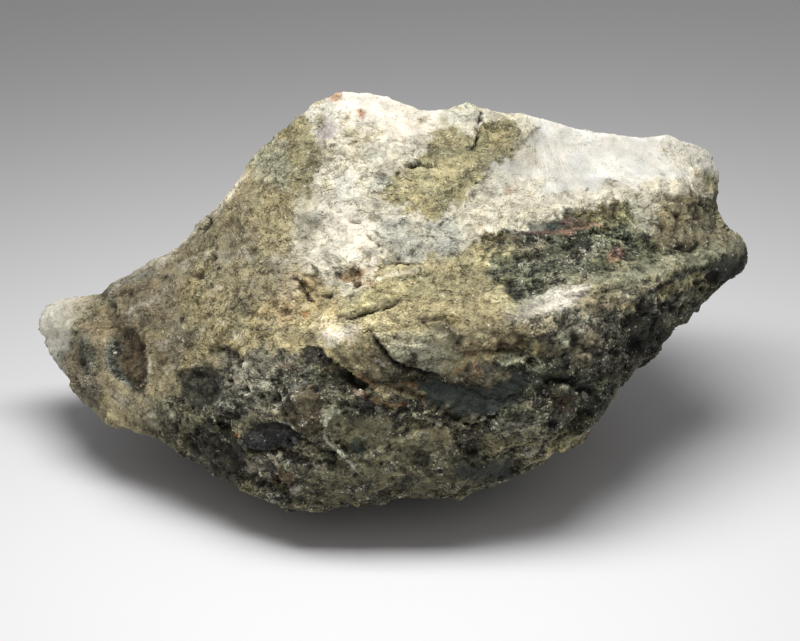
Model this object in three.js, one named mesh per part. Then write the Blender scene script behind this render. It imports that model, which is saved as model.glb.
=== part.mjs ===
// A hand specimen of white pectolite vein on dark serpentine rock, broken from the outcrop as one piece.
// Millimetres, +Z up, standing on its small flat spot at Z = 0, with the display side towards -Y.
import * as THREE from "three";
import { ImprovedNoise } from "three/addons/math/ImprovedNoise.js";

// Driving dimensions. The corners below are measured on the display side itself: u runs to the right across
// it, v runs up it and w stands out of it. That side leans back, so its own frame is turned on the table.
const LEAN = THREE.MathUtils.degToRad(30); // how far the display side leans back from upright
const ORIGIN = new THREE.Vector3(1.7, -14.1, 33.3); // where u = v = w = 0 is on the table
const FRONT_EDGE = 3.3; // longest triangle edge on the display side
const BACK_EDGE = 4.2; // longest triangle edge on the hidden side
const HEART = -20; // how far in from the display side's frame the stone's middle lies
const SMOOTHING = 0.35; // how far each pass moves a point towards its neighbours
const SMOOTHING_PASSES = 2;
const RIM_FREEDOM = 0.3; // share of all movement that the rim's points take
// Roughness of the broken surface: [wavelength, height] of each layer, coarse to fine
const RELIEF = [
  [17, 1.1],
  [8, 0.7],
  [4, 0.45],
];

// The rim, clockwise from the left tip: where the display side turns over to the hidden side.
const RIM = [
  // left tip and the long left shoulder
  [-65, -1, -26], [-64, 2, -27], [-61.5, 4, -27], [-53.5, 4.5, -26], [-52, 6.5, -24], [-48, 8.5, -22],
  [-43.5, 10, -20], [-39, 13, -18], [-36, 16.5, -17], [-31.5, 19.5, -15], [-27.5, 24.5, -13],
  [-23.5, 30.5, -12],
  // summit and the crest of the vein
  [-18, 35, -10], [-14, 38, -9], [-10, 39.5, -8], [-3.5, 39, -7], [1.5, 37, -8], [5, 36, -10],
  [8, 36.5, -10], [11.5, 38, -10], [14.5, 36.5, -11], [22.5, 35.5, -12], [29, 34, -14], [34.5, 32.5, -15],
  [42.5, 32, -17], [47, 32.5, -18], [54.5, 30.5, -20],
  // right cliff and the ledge that juts out below it
  [56.5, 27, -20], [56, 21, -19], [55.5, 17, -18], [58.5, 16, -18], [60.5, 14.5, -18], [61.5, 12, -17],
  [60, 9, -16], [56.5, 6, -13],
  // broken right underside, stepping down to the foot
  [52, 3, -10], [47, 0, -8], [46, -2.5, -6], [43.5, -6.5, -4], [40, -8.5, -2.5], [36, -13, -1],
  [31, -19, 1], [27.5, -21.5, 1.5], [21, -25, 2.5], [16.5, -27.5, 2.5],
  // foot and the left underside, back to the tip
  [6.5, -29.5, 3], [0, -29.5, 3], [-7, -30.5, 3.5], [-14.5, -31.5, 3], [-18.5, -31.5, 2], [-24, -28.5, 1],
  [-30, -25.5, -1.5], [-36.5, -22.5, -4.5], [-41, -19.5, -7.5], [-47, -18.5, -10], [-51, -17.5, -13],
  [-57, -12.5, -18], [-61, -8, -22], [-63, -5, -25],
];

// Corners of the display side inside the rim.
const FRONT = [
  // vein crest and the smooth white slab on the right, dished in its middle
  [-17, 28.5, -4], [-9, 28.5, 0], [0, 30.5, -2], [8, 31.5, -4], [14, 32, -6], [24, 31, -9],
  [34.5, 28.5, -13], [43, 27.5, -14], [51, 27, -14.5],
  [-25.5, 20.5, -6], [-18.5, 17.5, 0], [-10.5, 16.5, 5], [-2.5, 20, 4], [5, 21.5, 2], [11.5, 17.5, 3.5],
  [16.5, 14, 4], [26.5, 18.5, -2], [37, 22, -6], [48, 23, -9],
  // left shoulder, running in from the tip
  [-56, -1.5, -19], [-49, 5.5, -18], [-46.5, -4, -12], [-41.5, 5, -12], [-37, -2.5, -5], [-34, 7, -7],
  [-28, -1.5, 2.5], [-26.5, 8.5, -1],
  // belly, the part that stands out most
  [-18, 6.5, 5.5], [-9.5, 5, 9.5], [-1.5, 7.5, 10.5], [6.5, 9.5, 9], [13, 8, 8], [23, 9, 5],
  [-19.5, -1.5, 9], [-11, -2, 13], [-3, -2.5, 15.5], [4.5, -3, 16.5], [12.5, -2, 15.5], [22.5, -0.5, 13.5],
  // right ledge
  [33.5, 11.5, 1.5], [42, 14.5, -4], [51, 15.5, -10.5], [32.5, 4, 9.5], [43.5, 6.5, 3], [54, 11, -7],
  // hollow under the belly, shallower at its two ends
  [-47, -10, -9], [-37, -10, -1], [-26.5, -9, 6], [-16, -9, 9.5], [-8, -9, 11], [0, -9.5, 10.5],
  [8, -10, 10], [16, -10, 10], [24, -8.5, 11], [33, -5, 9], [41, -1.5, 4],
  // lower face, falling from a second, lower swell to the foot
  [-39, -16, -2.5], [-28, -16.5, 4], [-18, -16, 9], [-9.5, -15, 12], [0, -15.5, 12.5], [9.5, -16, 12],
  [18, -15, 11], [26, -14, 9], [33, -10.5, 6],
  [-26.5, -23, 2.5], [-18, -25, 6], [-10, -25, 8], [0, -24, 8], [8, -24, 8], [16.5, -22, 7.5],
  [24.5, -19, 6.5],
];

// Corners of the hidden side inside the rim.
const BACK = [
  // just behind the crest
  [-12, 36.5, -17], [10, 34, -19], [30, 31.5, -24], [47, 29, -28],
  // rearmost bulge
  [-46, 1, -33], [-25, 19.5, -32], [-5, 27, -37], [18, 26, -41], [38, 25, -39], [50, 21, -34],
  [-38, -9, -33], [-20, -2, -43], [0, 2.5, -48], [22, 4.5, -46], [40, 7.5, -38],
  // the flat spot that the stone stands on
  [-22, -17.7, -38], [-6, -13.7, -45], [14, -13.2, -46], [26, -17.7, -38],
  [-26, -24.2, -27], [-14, -27.7, -21], [2, -27.7, -21], [14, -25, -24.5],
  // the slope that rises from it to the foot
  [-21, -28.5, -8], [-6, -30, -8.5], [9, -29, -9], [23, -24, -9.5], [27, -19.5, -24],
  // undersides of both ends
  [-42, -13, -25], [-54, -8, -27], [36, -8, -21], [50, 6.5, -21],
];

// Whether a point lies inside a closed outline, both in u and v.
function inside(u, v, outline) {
  let within = false;
  outline.forEach(([u1, v1], i) => {
    const [u2, v2] = outline[(i + 1) % outline.length];
    if (v1 > v !== v2 > v && u < ((u2 - u1) * (v - v1)) / (v2 - v1) + u1) within = !within;
  });
  return within;
}

// The display side's corners lie flat as they are, by u and v.
const faceOn = ([u, v]) => [u, v];

// The hidden side's are laid flat by the direction they lie in from a point inside the stone.
function opened([u, v, w]) {
  const depth = w - HEART;
  const reach = Math.hypot(u, v, depth) - depth;
  return [u / reach, v / reach];
}

// Delaunay triangles of the corners laid flat, added point by point, that lie inside the rim.
function facets(corners, rimCount, layFlat) {
  const far = 1e4;
  const points = corners.map(layFlat);
  const n = points.length;
  const all = [...points, [-far, -far], [far, -far], [0, far]];
  let triangles = [[n, n + 1, n + 2]];
  const inCircle = ([a, b, c], p) => {
    const [ax, ay, bx, by, cx, cy] = [a, b, c].flatMap((i) => [all[i][0] - p[0], all[i][1] - p[1]]);
    const det =
      (ax * ax + ay * ay) * (bx * cy - cx * by) -
      (bx * bx + by * by) * (ax * cy - cx * ay) +
      (cx * cx + cy * cy) * (ax * by - bx * ay);
    return det > 0;
  };
  points.forEach((p, i) => {
    const open = new Map();
    const kept = [];
    for (const t of triangles) {
      if (!inCircle(t, p)) {
        kept.push(t);
        continue;
      }
      t.forEach((a, k) => {
        const b = t[(k + 1) % 3];
        if (!open.delete(`${b},${a}`)) open.set(`${a},${b}`, [a, b]);
      });
    }
    triangles = [...kept, ...[...open.values()].map(([a, b]) => [a, b, i])];
  });
  const rim = points.slice(0, rimCount);
  return triangles.filter((t) => {
    if (Math.max(...t) >= n) return false;
    const [u, v] = [0, 1].map((k) => (all[t[0]][k] + all[t[1]][k] + all[t[2]][k]) / 3);
    return inside(u, v, rim);
  });
}

// The two sides share the rim's points and meet along it in one closed surface.
function closedStone() {
  const points = [...RIM, ...FRONT, ...BACK];
  const frontFacets = facets([...RIM, ...FRONT], RIM.length, faceOn);
  const backFacets = facets([...RIM, ...BACK], RIM.length, opened);
  const backIndex = (i) => (i < RIM.length ? i : i + FRONT.length);
  const faces = [
    ...frontFacets.map((t) => ({ t, limit: FRONT_EDGE })),
    ...backFacets.map(([a, b, c]) => ({ t: [a, c, b].map(backIndex), limit: BACK_EDGE })),
  ];
  return { points: points.map((p) => new THREE.Vector3(...p)), faces };
}

// Halves every edge over its limit until none is left, so that the corners' edges stay where they are.
function refine({ points, faces }) {
  const edgeKey = (a, b) => (a < b ? `${a},${b}` : `${b},${a}`);
  for (let split = true; split; ) {
    split = false;
    const limits = new Map();
    for (const { t, limit } of faces)
      t.forEach((a, k) => {
        const key = edgeKey(a, t[(k + 1) % 3]);
        limits.set(key, Math.min(limit, limits.get(key) ?? limit));
      });
    const middles = new Map();
    for (const [key, limit] of limits) {
      const [a, b] = key.split(",").map((i) => points[i]);
      if (a.distanceTo(b) <= limit) continue;
      middles.set(key, points.length);
      points.push(a.clone().add(b).multiplyScalar(0.5));
      split = true;
    }
    const next = [];
    for (const { t, limit } of faces) {
      const m = t.map((a, k) => middles.get(edgeKey(a, t[(k + 1) % 3])));
      for (const piece of divided(t, m, points)) next.push({ t: piece, limit });
    }
    faces = next;
  }
  return { points, faces };
}

// One triangle's pieces, given the middles of those of its edges that are halved.
function divided([a, b, c], [ab, bc, ca], points) {
  const halved = [ab, bc, ca].filter((m) => m !== undefined).length;
  if (halved === 0) return [[a, b, c]];
  if (halved === 3) return [[a, ab, ca], [ab, b, bc], [ca, bc, c], [ab, bc, ca]];
  if (ab === undefined) return divided([b, c, a], [bc, ca, ab], points);
  if (halved === 1) return [[a, ab, c], [ab, b, c]];
  if (bc === undefined) return divided([c, a, b], [ca, ab, bc], points);
  const shorter = points[a].distanceTo(points[bc]) < points[c].distanceTo(points[ab]);
  return shorter
    ? [[ab, b, bc], [a, ab, bc], [a, bc, c]]
    : [[ab, b, bc], [a, ab, c], [ab, bc, c]];
}

// How freely each point may move when the surface is worked: little on the rim, where the two sides meet.
function freedom(points, faces) {
  const limits = points.map(() => new Set());
  for (const { t, limit } of faces) t.forEach((a) => limits[a].add(limit));
  return limits.map((l) => (l.size > 1 ? RIM_FREEDOM : 1));
}

function smooth(points, faces, free) {
  const near = points.map(() => new Set());
  for (const { t } of faces) t.forEach((a, k) => near[a].add(t[(k + 1) % 3]).add(t[(k + 2) % 3]));
  for (let pass = 0; pass < SMOOTHING_PASSES; pass++) {
    const old = points.map((p) => p.clone());
    points.forEach((p, i) => {
      const mean = new THREE.Vector3();
      near[i].forEach((j) => mean.add(old[j]));
      p.lerp(mean.divideScalar(near[i].size), SMOOTHING * free[i]);
    });
  }
}

// Layered noise along the surface's own direction, as a break through uneven grain leaves it.
function roughen(geometry, free) {
  const noise = new ImprovedNoise();
  const position = geometry.getAttribute("position");
  const normal = geometry.getAttribute("normal");
  const p = new THREE.Vector3();
  const n = new THREE.Vector3();
  for (let i = 0; i < position.count; i++) {
    p.fromBufferAttribute(position, i);
    n.fromBufferAttribute(normal, i);
    let height = 0;
    for (const [wavelength, high] of RELIEF)
      height += high * noise.noise(p.x / wavelength, p.y / wavelength, p.z / wavelength);
    p.addScaledVector(n, height * free[i]);
    position.setXYZ(i, p.x, p.y, p.z);
  }
}

// From the display side's own frame to the table, where the flat spot is ground level.
function stand(geometry) {
  geometry.rotateX(Math.PI / 2 - LEAN);
  geometry.translate(...ORIGIN);
  const position = geometry.getAttribute("position");
  for (let i = 0; i < position.count; i++) position.setZ(i, Math.max(0, position.getZ(i)));
  geometry.computeVertexNormals();
}

function pectoliteRock() {
  const { points, faces } = refine(closedStone());
  const free = freedom(points, faces);
  smooth(points, faces, free);
  const geometry = new THREE.BufferGeometry().setFromPoints(points);
  geometry.setIndex(faces.flatMap(({ t }) => t));
  geometry.computeVertexNormals();
  roughen(geometry, free);
  stand(geometry);
  const material = new THREE.MeshStandardMaterial({ color: 0x8a846c, roughness: 0.85, metalness: 0 });
  const mesh = new THREE.Mesh(geometry, material);
  mesh.name = "pectolite_rock";
  return mesh;
}

const specimen = new THREE.Group();
specimen.add(pectoliteRock());
export default specimen;
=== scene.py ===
# %% [markdown]
# # A pectolite specimen
#
# This script finishes one hand-sized piece of vein rock. Pectolite is a white mineral that grows in silky
# fibres and fine crystals. Here it coats the upper half of a darker, greenish rock that broke out with it.
# The plain solid comes from the frame, and every step below adds what the solid leaves out.
#
# The first cell loads the frame and keeps its box, which later bounds the moved skin.

# %% Load the frame
import math

import bpy
import numpy as np
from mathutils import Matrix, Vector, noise


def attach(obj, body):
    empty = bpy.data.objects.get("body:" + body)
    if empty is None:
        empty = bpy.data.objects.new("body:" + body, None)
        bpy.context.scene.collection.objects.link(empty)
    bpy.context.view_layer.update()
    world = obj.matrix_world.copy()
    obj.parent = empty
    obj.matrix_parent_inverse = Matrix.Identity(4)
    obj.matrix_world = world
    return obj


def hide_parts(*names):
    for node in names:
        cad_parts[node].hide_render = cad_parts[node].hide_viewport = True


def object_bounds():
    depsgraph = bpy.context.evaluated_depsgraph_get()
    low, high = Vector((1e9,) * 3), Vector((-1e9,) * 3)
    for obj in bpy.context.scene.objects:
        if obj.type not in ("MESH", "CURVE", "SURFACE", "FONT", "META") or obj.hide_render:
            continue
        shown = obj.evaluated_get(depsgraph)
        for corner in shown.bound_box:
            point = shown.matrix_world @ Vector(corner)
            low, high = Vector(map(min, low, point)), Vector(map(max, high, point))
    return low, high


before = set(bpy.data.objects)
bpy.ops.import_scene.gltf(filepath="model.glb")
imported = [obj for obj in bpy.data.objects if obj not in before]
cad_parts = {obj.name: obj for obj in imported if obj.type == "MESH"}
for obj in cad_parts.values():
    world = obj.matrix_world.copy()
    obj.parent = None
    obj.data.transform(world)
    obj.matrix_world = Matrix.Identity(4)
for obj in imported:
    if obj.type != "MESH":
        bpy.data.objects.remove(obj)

cad_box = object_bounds()
rock_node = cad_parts["pectolite_rock"]
print("solid:", len(rock_node.data.polygons), "triangles, box", cad_box)

# %% [markdown]
# ## The display side's own axes
#
# The side that shows the vein leans back from upright. It is easier to place a crack or a patch of mineral
# on it with axes that lie in it: u runs to the right, v up the side and w out of it, all in millimetres.
# Two short functions turn places on the table into places on the side and back. An empty parent could do
# the same with objects, but the steps below work on thousands of points at once, so plain arrays are
# quicker.

# %% Axes of the display side
MM = 0.001
LEAN = math.radians(30)
VIEW_DISTANCE = 370  # of the camera from the side's origin, in millimetres
FACE_ORIGIN = np.array((1.7, -14.1, 33.3))
FACE_AXES = np.array((
    (1.0, 0.0, 0.0),
    (0.0, math.sin(LEAN), math.cos(LEAN)),
    (0.0, -math.cos(LEAN), math.sin(LEAN)),
))


def on_side(points):
    """Places on the table, in metres, as u, v, w in millimetres."""
    return (points / MM - FACE_ORIGIN) @ FACE_AXES.T


def on_table(uvw):
    """u, v, w in millimetres as places on the table, in metres."""
    return (np.asarray(uvw, float) @ FACE_AXES + FACE_ORIGIN) * MM


def as_seen(uvw):
    """u and v as they look from VIEW_DISTANCE away, where far parts look smaller."""
    return uvw[:, :2] * (VIEW_DISTANCE / (VIEW_DISTANCE - uvw[:, 2:]))


print("the side's origin is at", on_table((0, 0, 0)))

# %% [markdown]
# ## Camera
#
# The camera faces the display side squarely, so it looks down at the table by the same angle as the side
# leans back. A short lens from close by would show more of the table, but would swell the belly and shrink
# both ends. A long lens from 37 cm away keeps them in proportion.

# %% Camera
camera_data = bpy.data.cameras.new("camera")
camera_data.lens = 100
camera_data.sensor_width = 36
camera_data.clip_start = 0.01
camera = bpy.data.objects.new("camera", camera_data)
camera.location = on_table((0, 0, VIEW_DISTANCE))
camera.rotation_euler = (math.pi / 2 - LEAN, 0, 0)
bpy.context.scene.collection.objects.link(camera)
bpy.context.scene.camera = camera
print("camera at", tuple(round(x, 3) for x in camera.location))

# %% [markdown]
# ## Shader maths that reads like maths
#
# A material is a graph of nodes, and a long sum takes a node for every sign. The small class below wraps an
# output socket and gives it Python's own operators, so `1 - mask * 0.5` adds the two Math nodes by itself.
# Colours and vectors go through Mix and Vector Math nodes, because a Math node would turn a colour grey.

# %% Sockets with operators
class Socket:
    """An output socket of a material's nodes, with arithmetic."""

    def __init__(self, finish, socket):
        self.finish, self.socket = finish, socket

    def _math(self, operation, *values, clamp=False):
        settings = {"operation": operation, "use_clamp": clamp}
        return self.finish.node("ShaderNodeMath", settings, dict(enumerate(values)))

    def __add__(self, other):
        return self._math("ADD", self, other)

    def __radd__(self, other):
        return self._math("ADD", other, self)

    def __sub__(self, other):
        return self._math("SUBTRACT", self, other)

    def __rsub__(self, other):
        return self._math("SUBTRACT", other, self)

    def __mul__(self, other):
        return self._math("MULTIPLY", self, other)

    def __rmul__(self, other):
        return self._math("MULTIPLY", other, self)

    def __abs__(self):
        return self._math("ABSOLUTE", self)

    def smaller(self, other):
        return self._math("MINIMUM", self, other)

    def clamped(self):
        return self._math("ADD", self, 0, clamp=True)

    def step(self, low, high):
        """0 below low, 1 above high, smooth between."""
        settings = {"interpolation_type": "SMOOTHSTEP"}
        values = {"Value": self, "From Min": low, "From Max": high}
        return self.finish.node("ShaderNodeMapRange", settings, values)


print("operators of a socket:", [name for name in vars(Socket) if name.startswith("__")][2:])

# %% [markdown]
# The second class holds a new material. One method adds any kind of node, with its settings first and then
# the values or links of its sockets, and short methods wrap the few kinds that come up again and again.
# Adding each node by hand in the Shader Editor gives the same graph, but a script can be read, changed and
# run again.

# %% A material and its nodes
class Finish:
    """A new material and the means to add nodes to it."""

    def __init__(self, name):
        self.material = bpy.data.materials.new(name)
        self.material.use_nodes = True
        self.tree = self.material.node_tree
        self.shader = next(n for n in self.tree.nodes if n.type == "BSDF_PRINCIPLED")

    def node(self, kind, settings, values, output=0):
        """A node of one kind: its settings are set first, then the values or links of its sockets."""
        new = self.tree.nodes.new(kind)
        for name, value in settings.items():
            setattr(new, name, value)
        for name, value in values.items():
            self.feed(new.inputs[name], value)
        return Socket(self, new.outputs[output])

    def feed(self, socket, value):
        """Gives an input a value or a link."""
        if isinstance(value, Socket):
            self.tree.links.new(value.socket, socket)
        else:
            socket.default_value = value

    def mix(self, share, first, second, blend="MIX"):
        """One colour into another."""
        settings = {"data_type": "RGBA", "blend_type": blend, "clamp_factor": True}
        return self.node("ShaderNodeMix", settings, {0: share, 6: first, 7: second}, output=2)

    def vector(self, operation, *values):
        """Maths on whole vectors or colours."""
        output = 1 if operation in ("LENGTH", "DISTANCE", "DOT_PRODUCT") else 0
        return self.node("ShaderNodeVectorMath", {"operation": operation}, dict(enumerate(values)), output)

    def scaled(self, vector, factor):
        """A vector or colour times a number."""
        return self.node("ShaderNodeVectorMath", {"operation": "SCALE"}, {0: vector, "Scale": factor})

    def place(self):
        """The place in the object's own space, in metres."""
        return self.node("ShaderNodeTexCoord", {}, {}, output="Object")

    def attribute(self, name, output="Color"):
        """What the mesh keeps under a name."""
        return self.node("ShaderNodeAttribute", {"attribute_name": name}, {}, output)

    def parts(self, colour):
        """The three channels of a colour or vector."""
        split = self.tree.nodes.new("ShaderNodeSeparateXYZ")
        self.feed(split.inputs[0], colour)
        return [Socket(self, out) for out in split.outputs]


print("shorthands for nodes:", [name for name in vars(Finish) if not name.startswith("_")])

# %% [markdown]
# ## Floor and light
#
# The stone lies on a plain pale sheet. One long soft light hangs over it, much like a lamp on a table-top
# stand, so the sheet is bright at the front and fades to grey towards the back. A pale surround fills the
# shadows. Three or four lamps would light the stone more evenly, but one lamp draws its ledges and hollows.
# The colour management is set to plain, so that the pale sheet stays pale.

# %% Floor and light
bpy.context.scene.view_settings.view_transform = "Standard"
FLOOR_HALF = 3.0
floor_mesh = bpy.data.meshes.new("floor")
floor_corners = [(x * FLOOR_HALF, y * FLOOR_HALF, 0) for x, y in ((-1, -1), (1, -1), (1, 1), (-1, 1))]
floor_mesh.from_pydata(floor_corners, [], [(0, 1, 2, 3)])
floor = bpy.data.objects.new("floor", floor_mesh)
bpy.context.scene.collection.objects.link(floor)
sheet = Finish("pale_sheet")
sheet.shader.inputs["Base Color"].default_value = (0.84, 0.835, 0.85, 1)
sheet.shader.inputs["Roughness"].default_value = 0.9
sheet.shader.inputs["Specular IOR Level"].default_value = 0.2
floor_mesh.materials.append(sheet.material)

LAMP_PLACE = (-0.002, -0.022, 0.205)
LAMP_WIDTH = 0.18
LAMP_DEPTH = 0.085
LAMP_WATTS = 0.507
LAMP_TIPPED_BACK = math.radians(-28)
LAMP_TIPPED_SIDEWAYS = math.radians(-9)
lamp_data = bpy.data.lights.new("lamp", "AREA")
lamp_data.shape = "RECTANGLE"
lamp_data.size = LAMP_WIDTH
lamp_data.size_y = LAMP_DEPTH
lamp_data.energy = LAMP_WATTS
lamp_data.color = (1.0, 0.995, 0.985)
lamp = bpy.data.objects.new("lamp", lamp_data)
lamp.location = LAMP_PLACE
lamp.rotation_euler = (LAMP_TIPPED_BACK, LAMP_TIPPED_SIDEWAYS, 0)
bpy.context.scene.collection.objects.link(lamp)

SURROUND_STRENGTH = 0.23
world = bpy.data.worlds.new("surround")
world.use_nodes = True
background = world.node_tree.nodes["Background"]
background.inputs["Color"].default_value = (0.975, 0.965, 0.97, 1)
background.inputs["Strength"].default_value = SURROUND_STRENGTH
bpy.context.scene.world = world
print("lamp", LAMP_PLACE[2], "m above the table")

# %% [markdown]
# ## The rock's main lines
#
# Cracks, ledges and thin veins are bent lines in u and v. They come first, because the skin is cut finest
# beside them. Later steps then stain them, sink them or raise one side of them. A curve object would be
# easier to drag about by hand, but a list of corners is enough for a script and can be measured from at
# once.

# %% Main lines
VEINLET = [
    (-12.3, -17.0), (-12.5, -18.8), (-11.9, -20.0), (-10.4, -21.4), (-8.6, -23.2), (-7.6, -24.3),
    (-6.9, -25.3),
]
THIN_VEIN = [(-20.5, -14), (-19, -12.5), (-17.5, -11.5), (-16, -10.5), (-14.5, -10.3)]
SLIP_FACE = [
    (-25.6, -19), (-24.9, -17.7), (-22.6, -17.0), (-20, -17.2), (-18, -18.0), (-16.6, -19.2),
    (-16.6, -20.3), (-19.3, -20.7), (-22.3, -21), (-24.3, -21.4), (-26, -21),
]
SOCKET = [
    (-49.0, -5.2), (-48.3, -3.2), (-47.1, -2.3), (-45.6, -1.5), (-44.4, -1.6), (-43.1, -2.3), (-42.3, -3.7),
    (-42.2, -6.7), (-42.4, -9.8), (-42.7, -12.6), (-44.6, -11.4), (-46.5, -10.4), (-48, -8.8), (-48.9, -7),
]
SLAB_FOOT = [(-10.9, 1.2), (-10.2, 0.5), (-8.6, 0.2), (-6.1, 1.0), (-3.9, 1.8), (-1.1, 2.6), (0.8, 3.5)]
SLAB_TOP = [(-10, 3.2), (-8.5, 4), (-7, 4.7)]
CRUST_CRACK = [(-2, 9), (0, 9.7), (2, 9.3)]
FIRST_CREVICE = [
    (-5.5, -1.5), (-4.5, -3), (-3.5, -4.5), (-2, -6), (-0.5, -7.3), (1, -8), (3, -8.6), (5, -9),
    (6.5, -9.5),
]
SECOND_CREVICE = [
    (-15.4, -4.4), (-13.4, -5.6), (-12.2, -7.2), (-10.5, -8.8), (-7.8, -10.2), (-5.5, -11.3), (-4, -11.8),
]
THIRD_CREVICE = [(-2, -10.9), (1, -11.7), (3, -12.6), (5, -13.6), (7, -14.6), (9, -15.4)]
POCKETS = [
    ((44.5, 5.2), (2.0, 1.5)), ((52.3, 7.2), (1.6, 1.5)), ((40.3, 2.2), (0.9, 1.6)),
    ((44.5, 2.2), (1.6, 1.1)), ((39.8, -4.3), (1.6, 1.5)), ((43.5, -2.2), (1.6, 1.7)),
    ((29.4, -3.8), (0.9, 2.0)), ((35.7, -5.3), (1.3, 0.8)), ((26.4, -10.2), (2.8, 0.9)),
    ((31.4, -11.8), (2.6, 0.9)), ((25.3, -16.8), (1.6, 1.1)), ((19.5, -22), (1.2, 0.9)),
]
UNDER_BELLY = [(9, -6), (12.5, -5.5), (17, -5.1), (20.5, -4.8)]
LENS_CRACK = [(10, -11), (12, -11.7), (14, -12.7), (17, -13), (20, -12.5)]
CURVED_CRACK = [(10, -17), (12, -18), (13.5, -17.5)]
SUMMIT_CRACK = [(13.7, 35.5), (13.3, 34), (12.8, 33.5), (13.3, 31.5), (12.3, 29.5), (11.5, 28.5)]
BROWN_CRACK = [(-18.5, 7.5), (-16, 5.5), (-15, 4), (-14, 3)]
CRUST_FOOT = [(18, 15.4), (21, 16.2), (25, 17.4), (30, 18.9), (35, 21), (44, 21.6)]
LONG_LEDGE = [(19, 1.6), (25, 3.2), (31, 4.6), (38, 6), (46, 8), (52, 9.4)]
FLANK_CRACK = [(-31, 19), (-31.5, 16), (-33, 14)]
FLANK_NICK = [(-13, 4.3), (-11, 4.4)]
GREEN_CRACK = [(20.5, 7.5), (22, 8.3), (24, 9)]
LEDGE_CRACK = [(47, 11.5), (49, 12.3), (50, 12.8)]
SLIP_CRACK = [(-16.7, -20.5), (-14, -20.3), (-12, -20.1)]
RIGHT_CREVICE = [(22, -9.5), (26, -9.8), (30, -11), (33, -10), (35, -9)]
KHAKI_GROOVE = [(1, 26), (3, 26.7), (6, 26.2)]
HOOKED_CRACK = [(-5.6, 14), (-4, 13), (-2.8, 12.2), (-3.7, 11.4)]
BENT_CRACK = [(-8.6, 16.4), (-7.6, 16.2), (-6.4, 17)]
CHIP_EDGES = [
    [(-17.2, 6.7), (-16.4, 5.4), (-15.3, 4), (-13.8, 2.9)], [(-18.2, 4.8), (-15.8, 5.9), (-13.8, 5.4)],
    [(-14.5, 9.4), (-13.2, 7.8), (-12.8, 6.4)], [(-24, 0.4), (-22.8, 0.5), (-21.6, 1)],
]
FINE_LINES = [
    VEINLET, THIN_VEIN, [*SLIP_FACE, SLIP_FACE[0]], [*SOCKET, SOCKET[0]], SLAB_FOOT, SLAB_TOP, CRUST_CRACK,
    FIRST_CREVICE, SECOND_CREVICE, THIRD_CREVICE, UNDER_BELLY, CURVED_CRACK, SUMMIT_CRACK, BROWN_CRACK,
]
print(len(FINE_LINES), "lines that need a fine skin")

# %% [markdown]
# Two helpers measure from such a line. The first finds how far each place lies from it, the second picks
# out the few places worth asking about. A bounding-volume tree could search faster, but the lines have few
# corners.

# %% Measuring from a line
def along(line, at):
    """For places near a line: distance from it, side of it (1 on its left) and share of its length."""
    nearest = np.full(len(at), np.inf)
    side, share = np.zeros(len(at)), np.zeros(len(at))
    corners = np.array(line, float)
    steps = np.diff(corners, axis=0)
    lengths = np.hypot(*steps.T)
    before = np.concatenate(((0,), np.cumsum(lengths)))
    for a, step, length, start in zip(corners, steps, lengths, before):
        part = np.clip((at - a) @ step / length ** 2, 0, 1)
        off = at - a - part[:, None] * step
        distance = np.hypot(*off.T)
        closer = distance < nearest
        nearest[closer] = distance[closer]
        side[closer] = np.sign(step[0] * off[closer, 1] - step[1] * off[closer, 0])
        share[closer] = (start + part[closer] * length) / before[-1]
    return nearest, side, share


def within(reach, at, corners):
    """The places that lie near some corners, as indices, so that a small patch costs little."""
    low, high = np.min(corners, 0) - reach, np.max(corners, 0) + reach
    return np.flatnonzero(((at > low) & (at < high)).all(1))


far, side, share = (values[0] for values in along(THIN_VEIN, np.array([(-18.0, -13.0)])))
print("a place beside the thin vein:", round(far, 2), "mm off, side", side, "at share", round(share, 2))

# %% [markdown]
# ## A finer skin for the stone
#
# The solid's triangles are a few millimetres across, and the grain of the rock is under half a millimetre.
# So a copy of its mesh is merged and cut finer: every edge over its limit is halved until none is left. A
# Subdivision Surface modifier would cut all sides equally, and would spend half of the triangles where
# nobody looks closely.

# %% Merge and cut
def merged(node):
    """A node's loose triangles with their shared corners joined: points and triangles as arrays."""
    count = len(node.data.vertices)
    points = np.empty(count * 3)
    node.data.vertices.foreach_get("co", points)
    points = points.reshape(-1, 3)
    node.data.calc_loop_triangles()
    triangles = np.empty(len(node.data.loop_triangles) * 3, int)
    node.data.loop_triangles.foreach_get("vertices", triangles)
    _, first, index = np.unique(np.round(points / MM, 4), axis=0, return_index=True, return_inverse=True)
    return points[first], index.reshape(-1)[triangles].reshape(-1, 3)


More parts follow.
